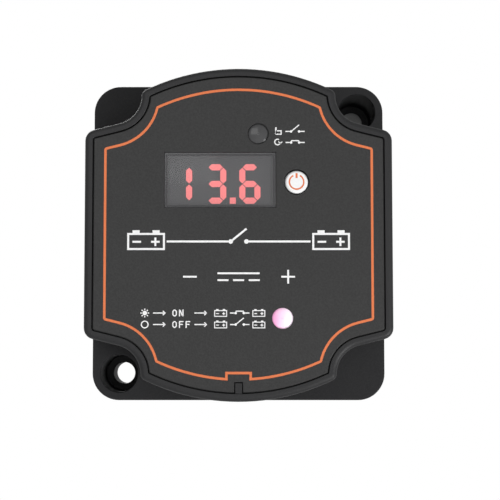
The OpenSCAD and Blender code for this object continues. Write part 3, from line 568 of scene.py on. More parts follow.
# %% Ink finishes
def ink_finish(name, tone, second_tone):
    made = finish(name, tone, 0.5)
    two_tones(made, spread(made, noise(made, 0.5 * MM), 0.3, 0.7, 0, 1), tone, second_tone)
    relief(made, noise(made, 0.3 * MM, detail=3.0), 0.01 * MM)
    return made


print_orange = ink_finish("print_orange", "#d86f3d", "#de7643")
print_white = ink_finish("print_white", "#e9e9e9", "#f4f4f4")
print("inks:", print_orange.name, print_white.name)

# %% Border line
border_inset = 4.8 * MM
border_w = 0.54 * MM
border_hollow_shift = Vector((0.8 * MM, -0.5 * MM))
border_crown_drop = 0.3 * MM
border_crown_r = crown_r - border_inset - border_crown_drop
jog_half_w = 2.63 * MM
jog_top = -30.35 * MM

border = Ink()
path = outline(border_inset, border_hollow_shift, border_crown_drop)
above = [p for p in path if p.y > 0 or abs(p.x) > jog_half_w]
start = next(i for i, p in enumerate(above) if p.y < 0 and p.x > 0)
above = above[start:] + above[:start]
low = -(crown_centre.y + math.sqrt(border_crown_r ** 2 - jog_half_w ** 2))
jog = [Vector((-jog_half_w, low)), Vector((-jog_half_w, jog_top)),
    Vector((jog_half_w, jog_top)), Vector((jog_half_w, low))]
border.stroke(above + jog, border_w, closed=True)
border.piece("printed_border", print_orange, face_y, "root")
print("border line at inset", round(border_inset / MM, 2), "mm")

# %% [markdown]
# ## Signs
# The white print is plain signs that any maker would use: two batteries with a contact between
# them, the sign for direct current between minus and plus, and a lit lamp with ON and a closed
# contact over a dark lamp with OFF and an open one. Beside the mode lamp, a finger and a turning
# arrow tell switching by hand from switching by itself. Each sign is a function of its place and
# size, so it is drawn once and used wherever it is needed.

# %% Signs of batteries and poles
marks = Ink()


def at(x, z):
    """A place on the panel, given in millimetres."""
    return Vector((x * MM, z * MM))


def line(points, width):
    marks.stroke([at(*p) for p in points], width * MM)


def box_sign(x, z, w, h, width):
    corners = [(x + i * w / 2, z + j * h / 2) for i, j in ((-1, -1), (1, -1), (1, 1), (-1, 1))]
    marks.stroke([at(*p) for p in corners], width * MM, closed=True)


def minus(x, z, size, width):
    line([(x - size / 2, z), (x + size / 2, z)], width)


def plus(x, z, size, width):
    minus(x, z, size, width)
    line([(x, z + size / 2), (x, z + width / 2)], width)
    line([(x, z - width / 2), (x, z - size / 2)], width)


def battery(x, z, w, h, width):
    box_sign(x, z, w, h, width)
    post_w, post_h = 0.2 * w, 0.18 * h
    for side in (-1, 1):
        post_x = x + side * 0.28 * w
        line([(post_x, z + h / 2 + width / 2), (post_x, z + h / 2 + width / 2 + post_h)], post_w)
    minus(x - 0.26 * w, z - 0.02 * h, 0.24 * w, width)
    plus(x + 0.26 * w, z - 0.02 * h, 0.24 * w, width)


print("signs of batteries and poles ready")


# %% Contacts, lamps, arrows and letters
def contact(x, z, w, width, closed):
    """Two dots with leads, and a blade that joins them or stands open."""
    dot = 1.15 * width
    gap = 0.42 * w
    for side in (-1, 1):
        line([(x + side * w / 2, z), (x + side * (gap / 2 + dot), z)], width)
        marks.disc(at(x + side * gap / 2, z), dot * MM, 20)
    pivot = Vector((x - gap / 2, z))
    if closed:
        pivot.y += dot + width / 2
        line([pivot, pivot + Vector((gap, 0))], width)
    else:
        blade = Vector((gap, 0.34 * w))
        line([pivot + dot * blade.normalized(), pivot + blade], width)


def lamp(x, z, r, width, lit):
    if not lit:
        marks.ring(at(x, z), (r - width / 2) * MM, width * MM)
        return
    marks.disc(at(x, z), 0.58 * r * MM, 24)
    for i in range(8):
        way = Vector((math.cos(i * math.pi / 4), math.sin(i * math.pi / 4)))
        start, end = at(x, z) + 0.76 * r * MM * way, at(x, z) + 1.12 * r * MM * way
        marks.stroke([start, end], width * MM)


def arrow(x, z, w, width):
    line([(x - w / 2, z), (x + w / 2 - 0.6 * width, z)], width)
    head = 1.9 * width
    line([(x + w / 2 - head, z + head), (x + w / 2, z), (x + w / 2 - head, z - head)], width)


def letters(word, x, z, h, width):
    """ON and OFF, in letters of even stroke, from the left edge x and the baseline z."""
    w = 0.66 * h
    low, high = z + width / 2, z + h - width / 2
    for letter in word:
        left, right = x + width / 2, x + w - width / 2
        cut = 0.18 * h
        if letter == "O":
            ring = ((left + cut, low), (right - cut, low), (right, low + cut), (right, high - cut),
                (right - cut, high), (left + cut, high), (left, high - cut), (left, low + cut))
            marks.stroke([at(*p) for p in ring], width * MM, closed=True)
        if letter == "N":
            line([(left, z), (left, z + h)], width)
            line([(right, z), (right, z + h)], width)
            line([(left + width / 2, z + h - width / 2), (right - width / 2, z + width / 2)], width)
        if letter == "F":
            line([(left, z), (left, high), (x + w, high)], width)
            line([(left + width / 2, z + 0.52 * h), (x + 0.85 * w, z + 0.52 * h)], width)
        x += w + 0.3 * h


print("contacts, lamps, arrows and letters ready")

# %% The signs in their places
title_z, title_stroke = -1.75, 0.44
for side in (-1, 1):
    battery(side * 20.2, title_z, 7.8, 3.3, title_stroke)
    line([(side * 15.7, title_z), (side * 4.1, title_z)], title_stroke)
contact(0, title_z, 8.2, title_stroke, closed=False)

rating_z, rating_stroke = -9.45, 0.4
minus(-10.6, rating_z, 3.0, rating_stroke)
plus(10.8, rating_z, 3.0, rating_stroke)
line([(-4.6, rating_z + 0.75), (4.6, rating_z + 0.75)], rating_stroke)
for i in range(3):
    minus(-3.4 + 3.4 * i, rating_z - 0.75, 2.4, rating_stroke)

row_stroke = 0.24
for z, word, lit in ((-17.35, "ON", True), (-19.85, "OFF", False)):
    lamp(-20.4, z, 0.85, row_stroke, lit)
    arrow(-17.3, z, 2.6, row_stroke)
    letters(word, -14.4, z - 0.75, 1.5, row_stroke)
    arrow(-8.3, z, 2.6, row_stroke)
    battery(-3.9, z - 0.1, 2.6, 1.25, 0.2)
    contact(0.25, z, 4.2, row_stroke, closed=lit)
    battery(4.4, z - 0.1, 2.6, 1.25, 0.2)

label_x, label_stroke = 8.4, 0.24
finger_z = 22.7
line([(label_x - 0.2, finger_z - 0.75), (label_x - 0.2, finger_z + 0.7)], 0.34)
box_sign(label_x + 0.4, finger_z - 0.45, 1.1, 0.75, label_stroke)
contact(12.4, finger_z - 0.2, 4.2, label_stroke, closed=False)
turn_z = 20.15
marks.ring(at(label_x + 0.15, turn_z), 0.62 * MM, label_stroke * MM, 60, 360)
line([(label_x + 0.35, turn_z + 0.1), (label_x + 0.77, turn_z - 0.32),
    (label_x + 1.2, turn_z + 0.1)], 0.2)
contact(12.4, turn_z - 0.1, 4.2, label_stroke, closed=True)
printed = marks.piece("printed_marks", print_white, face_y, "root")
print("signs:", len(printed.data.polygons), "faces")

# %% Sign on the button
button_c = middle("power_button")
button_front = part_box("power_button")[0].y
sign_r, sign_w = 1.58 * MM, 0.33 * MM
sign_gap = 27
sign_proud = 0.004 * MM
bar_low, bar_high, bar_w = 0.85 * MM, 1.95 * MM, 0.44 * MM
button_sign = Ink()
button_sign.ring((button_c.x, button_c.z), sign_r, sign_w, 90 + sign_gap, 450 - sign_gap)
button_sign.stroke([(button_c.x, button_c.z + z) for z in (bar_low, bar_high)], bar_w)
button_sign.piece("button_sign", print_orange, button_front + ink_t - sign_proud, "button")
print("sign on the button:", round(2 * sign_r / MM, 2), "mm across")

# %% [markdown]
# ## Soft edges
# A mould never gives a knife edge: every corner of the casing has a small radius, and that is
# what catches the light along an edge. The solids carry the large roundings. The small ones come
# here: edges inside the flats turn until no triangle is thinner than it must be, a bevel rounds
# each sharp edge by an even width, and normals that follow the largest faces keep the flats flat.
# Faces that look straight to the front or back take their own normal, since there it shows most.

# %% Soften the edges of a solid
least_edge = 0.002 * MM
flat_angle = math.radians(0.2)
flat_share = math.cos(flat_angle)
bevel_angle = math.radians(28)


def merged_copy(node):
    mesh = bmesh.new()
    mesh.from_mesh(nodes[node].data)
    bmesh.ops.remove_doubles(mesh, verts=mesh.verts, dist=least_edge)
    return mesh


def even_triangles(mesh):
    """Turns edges inside the flats, where a fuller triangle fits than a long thin one."""
    inner = [e for e in mesh.edges if len(e.link_faces) == 2 and e.calc_face_angle() < flat_angle]
    bmesh.ops.beautify_fill(mesh, faces=mesh.faces, edges=inner, method="ANGLE")


def applied(obj):
    """Makes an object's modifiers part of its mesh."""
    bpy.context.view_layer.update()
    graph = bpy.context.evaluated_depsgraph_get()
    data = bpy.data.meshes.new_from_object(obj.evaluated_get(graph), depsgraph=graph)
    obj.modifiers.clear()
    obj.data = data
    return obj


def smooth(obj, sharp_angle=40):
    for polygon in obj.data.polygons:
        polygon.use_smooth = True
    obj.data.set_sharp_from_angle(angle=math.radians(sharp_angle))


def square_flats(obj):
    """Gives faces that look straight to the front or back their own normal at every corner."""
    data = obj.data
    normals = [corner.vector.copy() for corner in data.corner_normals]
    for polygon in data.polygons:
        if abs(polygon.normal.y) > flat_share:
            for i in polygon.loop_indices:
                normals[i] = polygon.normal.copy()
    data.normals_split_custom_set(normals)


def softened(node, width, segments=2, cuts=()):
    """A copy of a solid with rounded edges, which is shown in its place; cuts split its faces."""
    mesh = merged_copy(node)
    even_triangles(mesh)
    for place, normal in cuts:
        bmesh.ops.bisect_plane(mesh, geom=mesh.verts[:] + mesh.edges[:] + mesh.faces[:],
            plane_co=place, plane_no=normal)
    name = node + "_soft"
    obj = placed(name, plain_data(name, mesh, finishes[slot_of[node]]))
    smooth(obj)
    bevel = obj.modifiers.new("edges", "BEVEL")
    bevel.width = width
    bevel.segments = segments
    bevel.limit_method = "ANGLE"
    bevel.angle_limit = bevel_angle
    bevel.use_clamp_overlap = False
    bevel.loop_slide = False
    bevel.face_strength_mode = "FSTR_ALL"
    weighted = obj.modifiers.new("flats", "WEIGHTED_NORMAL")
    weighted.keep_sharp = True
    weighted.use_face_influence = True
    square_flats(applied(obj))
    print(node, "softened:", len(obj.data.polygons), "faces")
    return assigned(obj, nodes[node]["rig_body"], node)


print("edges sharper than", round(math.degrees(bevel_angle)), "degrees get rounded")

# %% Soft edges outside
for name, width, segments in (("base", 0.25, 2), ("cover", 0.12, 2), ("face_plate", 0.06, 2),
        ("display_window", 0.15, 3), ("power_button", 0.1, 2), ("terminal_nuts", 0.15, 2),
        ("terminal_washers", 0.12, 2), ("spring_washers", 0.15, 2), ("lead_grommet", 0.25, 3)):
    softened(name, width * MM, segments)

# %% [markdown]
# ## Threaded studs
# The solids of the studs are plain rods. Here the free end gets its M8 thread: a pitch of 1.25 mm
# and flanks that lean 30 degrees. The mesh is a sheet whose rows run along the helix, so crest and
# root stay crisp. Where a row leaves the thread it is held at the end face, and equal points merge.

# %% Threaded studs
thread_pitch = 1.25 * MM
thread_minor = 3.32 * MM
thread_major = 3.98 * MM
shank_r = 3.68 * MM
tip_chamfer = 0.75 * MM
thread_merge = 0.0005 * MM
thread_profile = (0.0, 0.0, 0.0, 0.5, 1.0, 1.0, 0.5, 0.0)
stud_head_t = 3.4 * MM
stud_head_edge = 0.4 * MM
stud_thread_l = 6 * MM
around = 48


def threaded_stud(node, thread_l):
    low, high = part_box(node)
    centre = middle(node)
    tip_y, head_y = high.y, low.y
    head_r = (high.x - low.x) / 2
    end_y = tip_y - thread_l
    per_pitch = len(thread_profile)
    mesh = bmesh.new()

    def ring_of(points):
        return [mesh.verts.new((centre.x + r * math.cos(a), y, centre.z + r * math.sin(a)))
            for a, y, r in points]

    def sew(first, second):
        for a, b, c, d in zip(first, first[1:], second[1:], second):
            mesh.faces.new((a, b, c, d))

    angles = [2 * math.pi * i / around for i in range(around + 1)]
    rows = []
    for row in range(-per_pitch, round(thread_l / thread_pitch * per_pitch) + 1):
        points = []
        for i, angle in enumerate(angles):
            y = tip_y - thread_pitch * (row / per_pitch + i / around)
            height = thread_profile[row % per_pitch]
            radius = thread_minor + height * (thread_major - thread_minor)
            if y <= end_y:
                y, radius = end_y, shank_r
            y = min(y, tip_y)
            radius = min(radius, thread_major - tip_chamfer + (tip_y - y))
            points.append((angle, y, radius))
        rows.append(ring_of(points))
    edge = stud_head_edge
    head_top = head_y + stud_head_t
    for y, radius in ((end_y, shank_r), (head_top, shank_r), (head_top, head_r - edge),
            (head_top - edge, head_r), (head_y + edge, head_r), (head_y, head_r - edge)):
        rows.append(ring_of([(angle, y, radius) for angle in angles]))
    for first, second in zip(rows, rows[1:]):
        sew(first, second)
    bmesh.ops.remove_doubles(mesh, verts=mesh.verts, dist=thread_merge)
    bmesh.ops.dissolve_degenerate(mesh, dist=thread_merge, edges=mesh.edges)
    bmesh.ops.holes_fill(mesh, edges=[e for e in mesh.edges if e.is_boundary])
    bmesh.ops.recalc_face_normals(mesh, faces=mesh.faces)
    obj = finished(node + "_threaded", mesh, stud_brass, "root", node)
    smooth(obj, 35)
    print(node, "threaded:", len(obj.data.polygons), "faces")


for side in ("left", "right"):
    threaded_stud("terminal_stud_" + side, stud_thread_l)

# %% [markdown]
# ## Screws with a cross recess
# Ten screws in three sizes differ only in their measures. So one node group builds them all: a
# head from a cone, a shank from a cylinder, a cross cut out by a boolean, and a copy on each
# place. It is run once per size, with its sizes as named inputs, and leaves plain mesh behind.

# %% Helpers for node groups
def new_group(name, inputs):
    """An empty group with a geometry output and the given inputs, as (name, kind, start value)."""
    group = bpy.data.node_groups.new(name, "GeometryNodeTree")
    group.interface.new_socket("Geometry", in_out="INPUT", socket_type="NodeSocketGeometry")
    for title, kind, value in inputs:
        socket = group.interface.new_socket(title, in_out="INPUT", socket_type="NodeSocket" + kind)
        socket.default_value = value
    group.interface.new_socket("Finish", in_out="INPUT", socket_type="NodeSocketMaterial")
    group.interface.new_socket("Geometry", in_out="OUTPUT", socket_type="NodeSocketGeometry")
    return group, group.nodes.new("NodeGroupInput").outputs


def vector(group, x, y, z):
    return step(group, "ShaderNodeCombineXYZ", X=x, Y=y, Z=z).outputs["Vector"]


def moved(group, geometry, place, turn=(0, 0, 0)):
    return step(group, "GeometryNodeTransform", Geometry=geometry, Translation=place,
        Rotation=turn).outputs["Geometry"]


def put_on_points(group, given, shape):
    """Ends a group: a copy of the shape on each point, made real and given its finish."""
    copies = step(group, "GeometryNodeInstanceOnPoints", Points=given["Geometry"], Instance=shape)
    real = step(group, "GeometryNodeRealizeInstances", Geometry=copies.outputs["Instances"])
    dressed = step(group, "GeometryNodeSetMaterial", Geometry=real.outputs["Geometry"],
        Material=given["Finish"])
    step(group, "NodeGroupOutput", Geometry=dressed.outputs["Geometry"])


print("helpers for node groups ready")

# %% A node group for screws
screw_group, given = new_group("cross_recess_screws", [
    ("Head top radius", "Float", 0.002), ("Head radius", "Float", 0.0025),
    ("Head height", "Float", 0.002), ("Shank radius", "Float", 0.0015),
    ("Shank length", "Float", 0.01), ("Recess width", "Float", 0.0006),
    ("Recess length", "Float", 0.003), ("Recess depth", "Float", 0.001)])
group = screw_group
head_h = given["Head height"]
head = step(group, "GeometryNodeMeshCone", Vertices=40, Radius_Top=given["Head top radius"],
    Radius_Bottom=given["Head radius"], Depth=head_h).outputs["Mesh"]
head = moved(group, head, vector(group, 0, 0, calc(group, "MULTIPLY", head_h, -1)))
overlap = 0.25
shank_l = calc(group, "ADD", given["Shank length"], calc(group, "MULTIPLY", head_h, overlap))
shank = step(group, "GeometryNodeMeshCylinder", Vertices=32, Radius=given["Shank radius"],
    Depth=shank_l).outputs["Mesh"]
shank_z = calc(group, "ADD", calc(group, "MULTIPLY", given["Shank length"], -0.5),
    calc(group, "MULTIPLY", head_h, overlap / 2 - 1))
shank = moved(group, shank, vector(group, 0, 0, shank_z))
wing = step(group, "GeometryNodeMeshCube", Size=vector(group, given["Recess length"],
    given["Recess width"], calc(group, "MULTIPLY", given["Recess depth"], 2))).outputs["Mesh"]
other_wing = moved(group, wing, (0, 0, 0), (0, 0, math.pi / 2))
cut = step(group, "GeometryNodeMeshBoolean", {"operation": "DIFFERENCE", "solver": "EXACT"},
    Mesh_1=head, Mesh_2=wing)
feed(group, cut.inputs["Mesh 2"], other_wing)
whole = step(group, "GeometryNodeMeshBoolean", {"operation": "UNION", "solver": "EXACT"},
    Mesh_2=cut.outputs["Mesh"])
feed(group, whole.inputs["Mesh 2"], shank)
# The screws are built along z and stand along the object's y
put_on_points(group, given, moved(group, whole.outputs["Mesh"], (0, 0, 0), (-math.pi / 2, 0, 0)))
print("screw group:", len(screw_group.nodes), "nodes")


# %% Run a group, and find the places for it
def grown(name, places, group, values, body, replaced=None, bevel_w=0.0):
    """Runs a node group on points and keeps the outcome as plain mesh."""
    data = bpy.data.meshes.new(name)
    data.from_pydata(places, [], [])
    obj = placed(name, data)
    modifier = obj.modifiers.new("grow", "NODES")
    modifier.node_group = group
    sockets = {item.name: item.identifier for item in group.interface.items_tree
        if item.item_type == "SOCKET" and item.in_out == "INPUT"}
    for title, value in values.items():
        modifier[sockets[title]] = value
    if bevel_w:
        edges = obj.modifiers.new("edges", "BEVEL")
        edges.width = bevel_w
        edges.segments = 2
        edges.limit_method = "ANGLE"
        edges.angle_limit = math.radians(40)
    applied(obj)
    smooth(obj, 35)
    print(name, "grown on", len(places), "places:", len(obj.data.polygons), "faces")
    return assigned(obj, body, replaced)


def islands(node):
    """The boxes of a node's separate solids, as pairs of corners."""
    mesh = merged_copy(node)
    found, seen = [], set()
    for start in mesh.verts:
        if start in seen:
            continue
        seen.add(start)
        queue, group = [start], []
        while queue:
            vertex = queue.pop()
            group.append(vertex.co.copy())
            for edge in vertex.link_edges:
                other = edge.other_vert(vertex)
                if other not in seen:
                    seen.add(other)
                    queue.append(other)
        found.append([Vector([pick(p[i] for p in group) for i in range(3)]) for pick in (min, max)])
    mesh.free()
    return found


print("places of the case screws:", len(islands("case_screws")))

# %% [markdown]
# ## Bars of the display
# Each lit bar ends in points, and a dark line parts it from its neighbours. The solids say where
# the bars lie. Each one is drawn anew in its box, a little drawn in on all sides.

# %% Bars of the display
bar_gap = Vector((0.06 * MM, 0, 0.06 * MM))


def bar_shape(low, high):
    """Corners in x and z of a bar that ends in points, or of a square where it has no length."""
    low, high = low + bar_gap, high - bar_gap
    centre = (low + high) / 2
    w, h = high.x - low.x, high.z - low.z
    tip = min(w, h) / 2
    if abs(w - h) < tip:
        return [(low.x, low.z), (high.x, low.z), (high.x, high.z), (low.x, high.z)]
    if w > h:
        return [(low.x, centre.z), (low.x + tip, low.z), (high.x - tip, low.z),
            (high.x, centre.z), (high.x - tip, high.z), (low.x + tip, high.z)]
    return [(centre.x, low.z), (high.x, low.z + tip), (high.x, high.z - tip),
        (centre.x, high.z), (low.x, high.z - tip), (low.x, low.z + tip)]


def sleeve(mesh, first, second):
    """Joins two closed rings of points by faces."""
    for a, b, c, d in zip(first, first[1:] + first[:1], second[1:] + second[:1], second):
        mesh.faces.new((a, b, c, d))


mesh = bmesh.new()
bars = islands("lit_segments")
for low, high in bars:
    shape = bar_shape(low, high)
    front, back = [[mesh.verts.new((x, y, z)) for x, z in shape] for y in (low.y, high.y)]
    mesh.faces.new(front)
    mesh.faces.new(back)
    sleeve(mesh, front, back)
bmesh.ops.recalc_face_normals(mesh, faces=mesh.faces)
finished("lit_segments_pointed", mesh, segment_red, "root", "lit_segments")
print("bars with pointed ends:", len(bars))

# %% Case, yoke and board screws
def screws(node, top_r, low_r, head_l, shank_r, recess):
    boxes = islands(node)
    places = [((a.x + b.x) / 2, b.y, (a.z + b.z) / 2) for a, b in boxes]
    length = boxes[0][1].y - boxes[0][0].y
    grown(node + "_recessed", places, screw_group, {
        "Head top radius": top_r * MM, "Head radius": low_r * MM, "Head height": head_l * MM,
        "Shank radius": shank_r * MM, "Shank length": length - head_l * MM,
        "Recess width": recess[0] * MM, "Recess length": recess[1] * MM,
        "Recess depth": recess[2] * MM, "Finish": finishes[slot_of[node]],
    }, "root", node, 0.06 * MM)


screws("case_screws", 2.4, 2.75, 2.0, 1.5, (0.65, 3.0, 1.1))
screws("yoke_screws", 2.35, 1.27, 1.1, 1.2, (0.5, 2.6, 0.7))
screws("board_screws", 1.7, 2.0, 1.4, 1.1, (0.5, 2.3, 0.8))

# %% [markdown]
# ## Wound wire
# The coil and both springs are wire on a helix. A node group draws the helix as a curve and sweeps
# a circle along it. The coil's turns lie wire to wire over a solid core with a bore, and the
# springs stand free. The springs shorten with their joints, and each gets a mesh of its own.

# %% A node group for wire on a helix
wire_group, given = new_group("wound_wire", [
    ("Radius", "Float", 0.005), ("Wire", "Float", 0.0005), ("Length", "Float", 0.01),
    ("Turns", "Float", 3.0)])
group = wire_group
wire_r = calc(group, "MULTIPLY", given["Wire"], 0.5)
helix = step(group, "GeometryNodeCurveSpiral", Resolution=36, Rotations=given["Turns"],
    Start_Radius=given["Radius"], End_Radius=given["Radius"],
    Height=calc(group, "SUBTRACT", given["Length"], given["Wire"])).outputs["Curve"]
section = step(group, "GeometryNodeCurvePrimitiveCircle", Resolution=12,
    Radius=wire_r).outputs["Curve"]
tube = step(group, "GeometryNodeCurveToMesh", Curve=helix, Profile_Curve=section,
    Fill_Caps=True).outputs["Mesh"]
raised = moved(group, tube, vector(group, 0, 0, wire_r))
# The helix rises along z and runs along -y here, from the point that it grows on
put_on_points(group, given, moved(group, raised, (0, 0, 0), (math.pi / 2, 0, 0)))


def wound(node, name, wire, turns, replaced=None):
    """Wire of a given thickness on a helix that fills the box of a node."""
    low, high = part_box(node)
    centre = middle(node)
    return grown(name, [(centre.x, high.y, centre.z)], wire_group, {
        "Radius": (high.x - low.x - wire) / 2, "Wire": wire, "Length": high.y - low.y,
        "Turns": turns, "Finish": finishes[slot_of[node]]},
        nodes[node]["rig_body"], replaced)


return_spring = wound("return_spring", "return_spring_round", 0.5 * MM, 3.5,
    replaced="return_spring")
contact_spring = wound("contact_spring", "contact_spring_round", 0.7 * MM, 3.0,
    replaced="contact_spring")
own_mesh(return_spring)
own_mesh(contact_spring)
winding_wire = 0.42 * MM
winding_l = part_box("coil_winding")[1].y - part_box("coil_winding")[0].y
wound("coil_winding", "coil_winding_turns", winding_wire, round(winding_l / winding_wire) - 1)

# %% Core of the winding: the layers below the outer one
core_low, core_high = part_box("coil_winding")
core_r = (core_high.x - core_low.x) / 2 - 0.6 * winding_wire
bore_r = 5.1 * MM
mesh = bmesh.new()
rims = []
for y, radius in ((core_low.y, bore_r), (core_low.y, core_r),
        (core_high.y, core_r), (core_high.y, bore_r)):
    rims.append([mesh.verts.new((radius * math.cos(a), y, radius * math.sin(a)))
        for a in [2 * math.pi * i / around for i in range(around)]])
for first, second in zip(rims, rims[1:] + rims[:1]):
    sleeve(mesh, first, second)
bmesh.ops.recalc_face_normals(mesh, faces=mesh.faces)
core = finished("coil_winding_core", mesh, enamelled_copper, "root",
    "coil_winding")
smooth(core)
print("winding core:", round(2 * core_r / MM, 1), "mm across")

# %% [markdown]
# ## The board's parts
# Legs, ends and leads are tinned where the bodies are moulded. Their faces get the second finish by
# where they lie, and a cut splits a face where the finish changes on it. Where a lead comes
# through the board stands a small cone of solder, grown on the leads' ends by a node group.

# %% Parts with two finishes
def two_finishes(obj, others, choose):
    """Gives each face the finish that choose names by number: 0 is the first one."""
    for other in others:
        obj.data.materials.append(other)
    for polygon in obj.data.polygons:
        polygon.material_index = choose(polygon.center)


board_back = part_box("circuit_board")[1].y
board_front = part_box("circuit_board")[0].y
chip_c = middle("controller_chip")
chip_half = 1.96 * MM
chip = softened("controller_chip", 0.05 * MM)
two_finishes(chip, [tinned_brass], lambda p: int(abs(p.x - chip_c.x) > chip_half))
driver = softened("coil_driver", 0.1 * MM)
tab_z = 5.06 * MM
two_finishes(driver, [zinc_steel], lambda p: int(p.z > tab_z))
diode_c = middle("flyback_diode")
diode_half, band = 2.16 * MM, (-1.5 * MM, -1.0 * MM)
diode = softened("flyback_diode", 0.08 * MM,
    cuts=[((diode_c.x + x, 0, 0), (1, 0, 0)) for x in band])
two_finishes(diode, [tinned_brass, nylon_natural], lambda p: 1 if abs(p.x - diode_c.x) > diode_half
    else 2 if band[0] < p.x - diode_c.x < band[1] else 0)
can_c = middle("capacitor")
can_low, can_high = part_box("capacitor")
mark_x = can_c.x - 1.7 * MM
foot_t = 0.85 * MM
mark_t = 0.3 * MM
can = softened("capacitor", 0.25 * MM, cuts=[((mark_x, 0, 0), (1, 0, 0))])
two_finishes(can, [dark_moulding], lambda p: int(p.y < can_low.y + foot_t
    or (p.y > can_high.y - mark_t and p.x < mark_x)))
end_w = 0.35 * MM
row_low, row_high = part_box("resistors")
row = softened("resistors", 0.04 * MM,
    cuts=[((0, 0, row_low.z + end_w), (0, 0, 1)), ((0, 0, row_high.z - end_w), (0, 0, 1))])
two_finishes(row, [tinned_brass], lambda p: int(not row_low.z + end_w < p.z < row_high.z - end_w))
lead_start = board_front + 0.06 * MM
for name, width in (("display_module", 0.1), ("mode_led", 0.05), ("status_led", 0.05)):
    two_finishes(softened(name, width * MM), [tinned_brass], lambda p: int(p.y > lead_start))

# %% A node group for solder cones
solder_group, given = new_group("solder_cones", [
    ("Low radius", "Float", 0.0007), ("Top radius", "Float", 0.0003), ("Height", "Float", 0.0007),
    ("Turn", "Vector", (-math.pi / 2, 0.0, 0.0))])
cone = step(solder_group, "GeometryNodeMeshCone", Vertices=20, Radius_Top=given["Top radius"],
    Radius_Bottom=given["Low radius"], Depth=given["Height"]).outputs["Mesh"]
put_on_points(solder_group, given, moved(solder_group, cone, (0, 0, 0), given["Turn"]))
lead_apart = 1.6 * MM
plane_slack = 0.01 * MM


def lead_ends(node, far):
    """The middles of the flat ends that a node's leads have at the plane y = far."""
    ends = []
    for vertex in nodes[node].data.vertices:
        if abs(vertex.co.y - far) > plane_slack:
            continue
        near = next((e for e in ends if (e[0] - vertex.co).length < lead_apart), None)
        if near:
            near.append(vertex.co.copy())
        else:
            ends.append([vertex.co.copy()])
    return [sum(group, Vector()) / len(group) for group in ends]


solder_look = {"Low radius": 0.75 * MM, "Top radius": 0.3 * MM, "Height": 0.7 * MM,
    "Finish": zinc_steel}
back_ends = [e for node in ("display_module", "mode_led", "status_led")
    for e in lead_ends(node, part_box(node)[1].y)]
grown("solder_behind", [(e.x, board_back, e.z) for e in back_ends], solder_group,
    solder_look, "root")
front_ends = lead_ends("coil_pins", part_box("coil_pins")[0].y)
grown("solder_before", [(e.x, board_front, e.z) for e in front_ends], solder_group,
    {**solder_look, "Low radius": 0.9 * MM, "Turn": (math.pi / 2, 0, 0)}, "root")

# %% Soft edges inside
for name, width in (("switch_body", 0.12), ("yoke", 0.12), ("yoke_plate", 0.12),
        ("sense_strips", 0.08), ("contact_bridge", 0.15), ("coil_bobbin", 0.1),
        ("carrier", 0.15), ("insulating_washer", 0.1), ("fixed_contacts", 0.06),
        ("moving_contacts", 0.06), ("plunger", 0.15), ("plunger_shaft", 0.08),
        ("retaining_clip", 0.06), ("mode_lamp_lens", 0.05), ("status_lamp_lens", 0.05)):
    softened(name, width * MM)

# %% [markdown]
# ## Stage, light and background
# The object floats in front of plain white in the photograph. The world is white to the camera
# and to what shines through, dimmer to reflections, and lights the object gently. Four large soft
# lamps do the rest, and a card that only reflections see gives the panel and the window a sheen.
# The pale floor lies a hand's breadth below and keeps the shadow. It fades out before its edge,
# and a glow that lights nothing lifts it towards white.

# %% World
ambient = 0.3
gloss_share = 0.35


def seen_share(tree):
    """1 for the camera and for what shines through, less for reflections, 0 for other light."""
    rays = tree.nodes.new("ShaderNodeLightPath").outputs
    glossy = calc(tree, "MULTIPLY", rays["Is Glossy Ray"], gloss_share)
    seen = calc(tree, "MAXIMUM", rays["Is Camera Ray"], glossy)
    return calc(tree, "MAXIMUM", seen, rays["Is Transmission Ray"])


world = bpy.data.worlds.new("studio")
scene.world = world
world.use_nodes = True
tree = world.node_tree
strength = step(tree, "ShaderNodeMapRange", Value=seen_share(tree), To_Min=ambient, To_Max=1.0)
feed_all(tree, tree.nodes["Background"],
    {"Color": (1, 1, 1, 1), "Strength": strength.outputs["Result"]})
print("world: strength 1 where it is seen,", ambient, "as light")


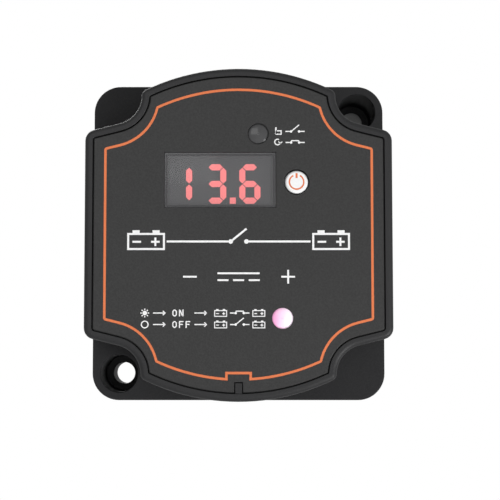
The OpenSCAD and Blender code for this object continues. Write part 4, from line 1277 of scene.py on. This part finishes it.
# %% Lamps
def soft_lamp(name, place, size, power, in_gloss=True):
    """A square lamp that looks at the middle of the object."""
    data = bpy.data.lights.new(name, "AREA")
    data.shape = "SQUARE"
    data.size = size
    data.energy = power
    obj = placed(name, data)
    obj.location = place
    inward = Vector((0, front_y / 2, 0)) - Vector(place)
    obj.rotation_euler = inward.to_track_quat("-Z", "Y").to_euler()
    obj.visible_glossy = in_gloss
    print(name, power, "W")


soft_lamp("front_lamp", (0.1, -0.9, -0.1), 0.5, 2.2, in_gloss=False)
soft_lamp("low_lamp", (-0.05, -0.75, -0.55), 0.4, 1.9, in_gloss=False)
soft_lamp("side_lamp", (0.65, -0.65, -0.5), 0.5, 5.8)
soft_lamp("rear_lamp", (-0.3, 0.8, 0.5), 0.6, 5.0)

# %% Reflection card
card_x = (-0.7, -0.02)
card_y = -1.05
card_z = (0.128, 0.8)
card_light = finish("card_light", "#000000", 1.0)
glow(card_light, "#ffffff", 1.8)
card_mesh = bmesh.new()
card_mesh.faces.new([card_mesh.verts.new((card_x[i], card_y, card_z[j]))
    for i, j in ((0, 0), (1, 0), (1, 1), (0, 1))])
card = placed("reflection_card", plain_data("reflection_card", card_mesh, card_light))
card.visible_camera = card.visible_diffuse = False
card.visible_transmission = card.visible_shadow = False
card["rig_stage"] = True
print("card:", round(card_x[1] - card_x[0], 2), "by", round(card_z[1] - card_z[0], 2), "m")

# %% Floor
floor_drop = 60 * MM
floor_half = 3.0
floor_lift = 0.35
fade_start, fade_end = 0.11, 0.17
floor_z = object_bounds()[0].z - floor_drop
floor_pale = finish("floor_pale", "#e6e6e6", 0.8)
tree = floor_pale.node_tree
far = step(tree, "ShaderNodeVectorMath", {"operation": "LENGTH"}, Vector=position(floor_pale))
shade(floor_pale, Alpha=spread(floor_pale, far.outputs["Value"], fade_start, fade_end, 1, 0))
glow(floor_pale, "#ffffff", calc(tree, "MULTIPLY", seen_share(tree), floor_lift))
floor_mesh = bmesh.new()
bmesh.ops.create_grid(floor_mesh, x_segments=1, y_segments=1, size=floor_half,
    matrix=Matrix.Translation((0, 0, floor_z)))
placed("floor", plain_data("floor", floor_mesh, floor_pale))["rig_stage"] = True
print("floor at z =", round(floor_z / MM, 1), "mm")
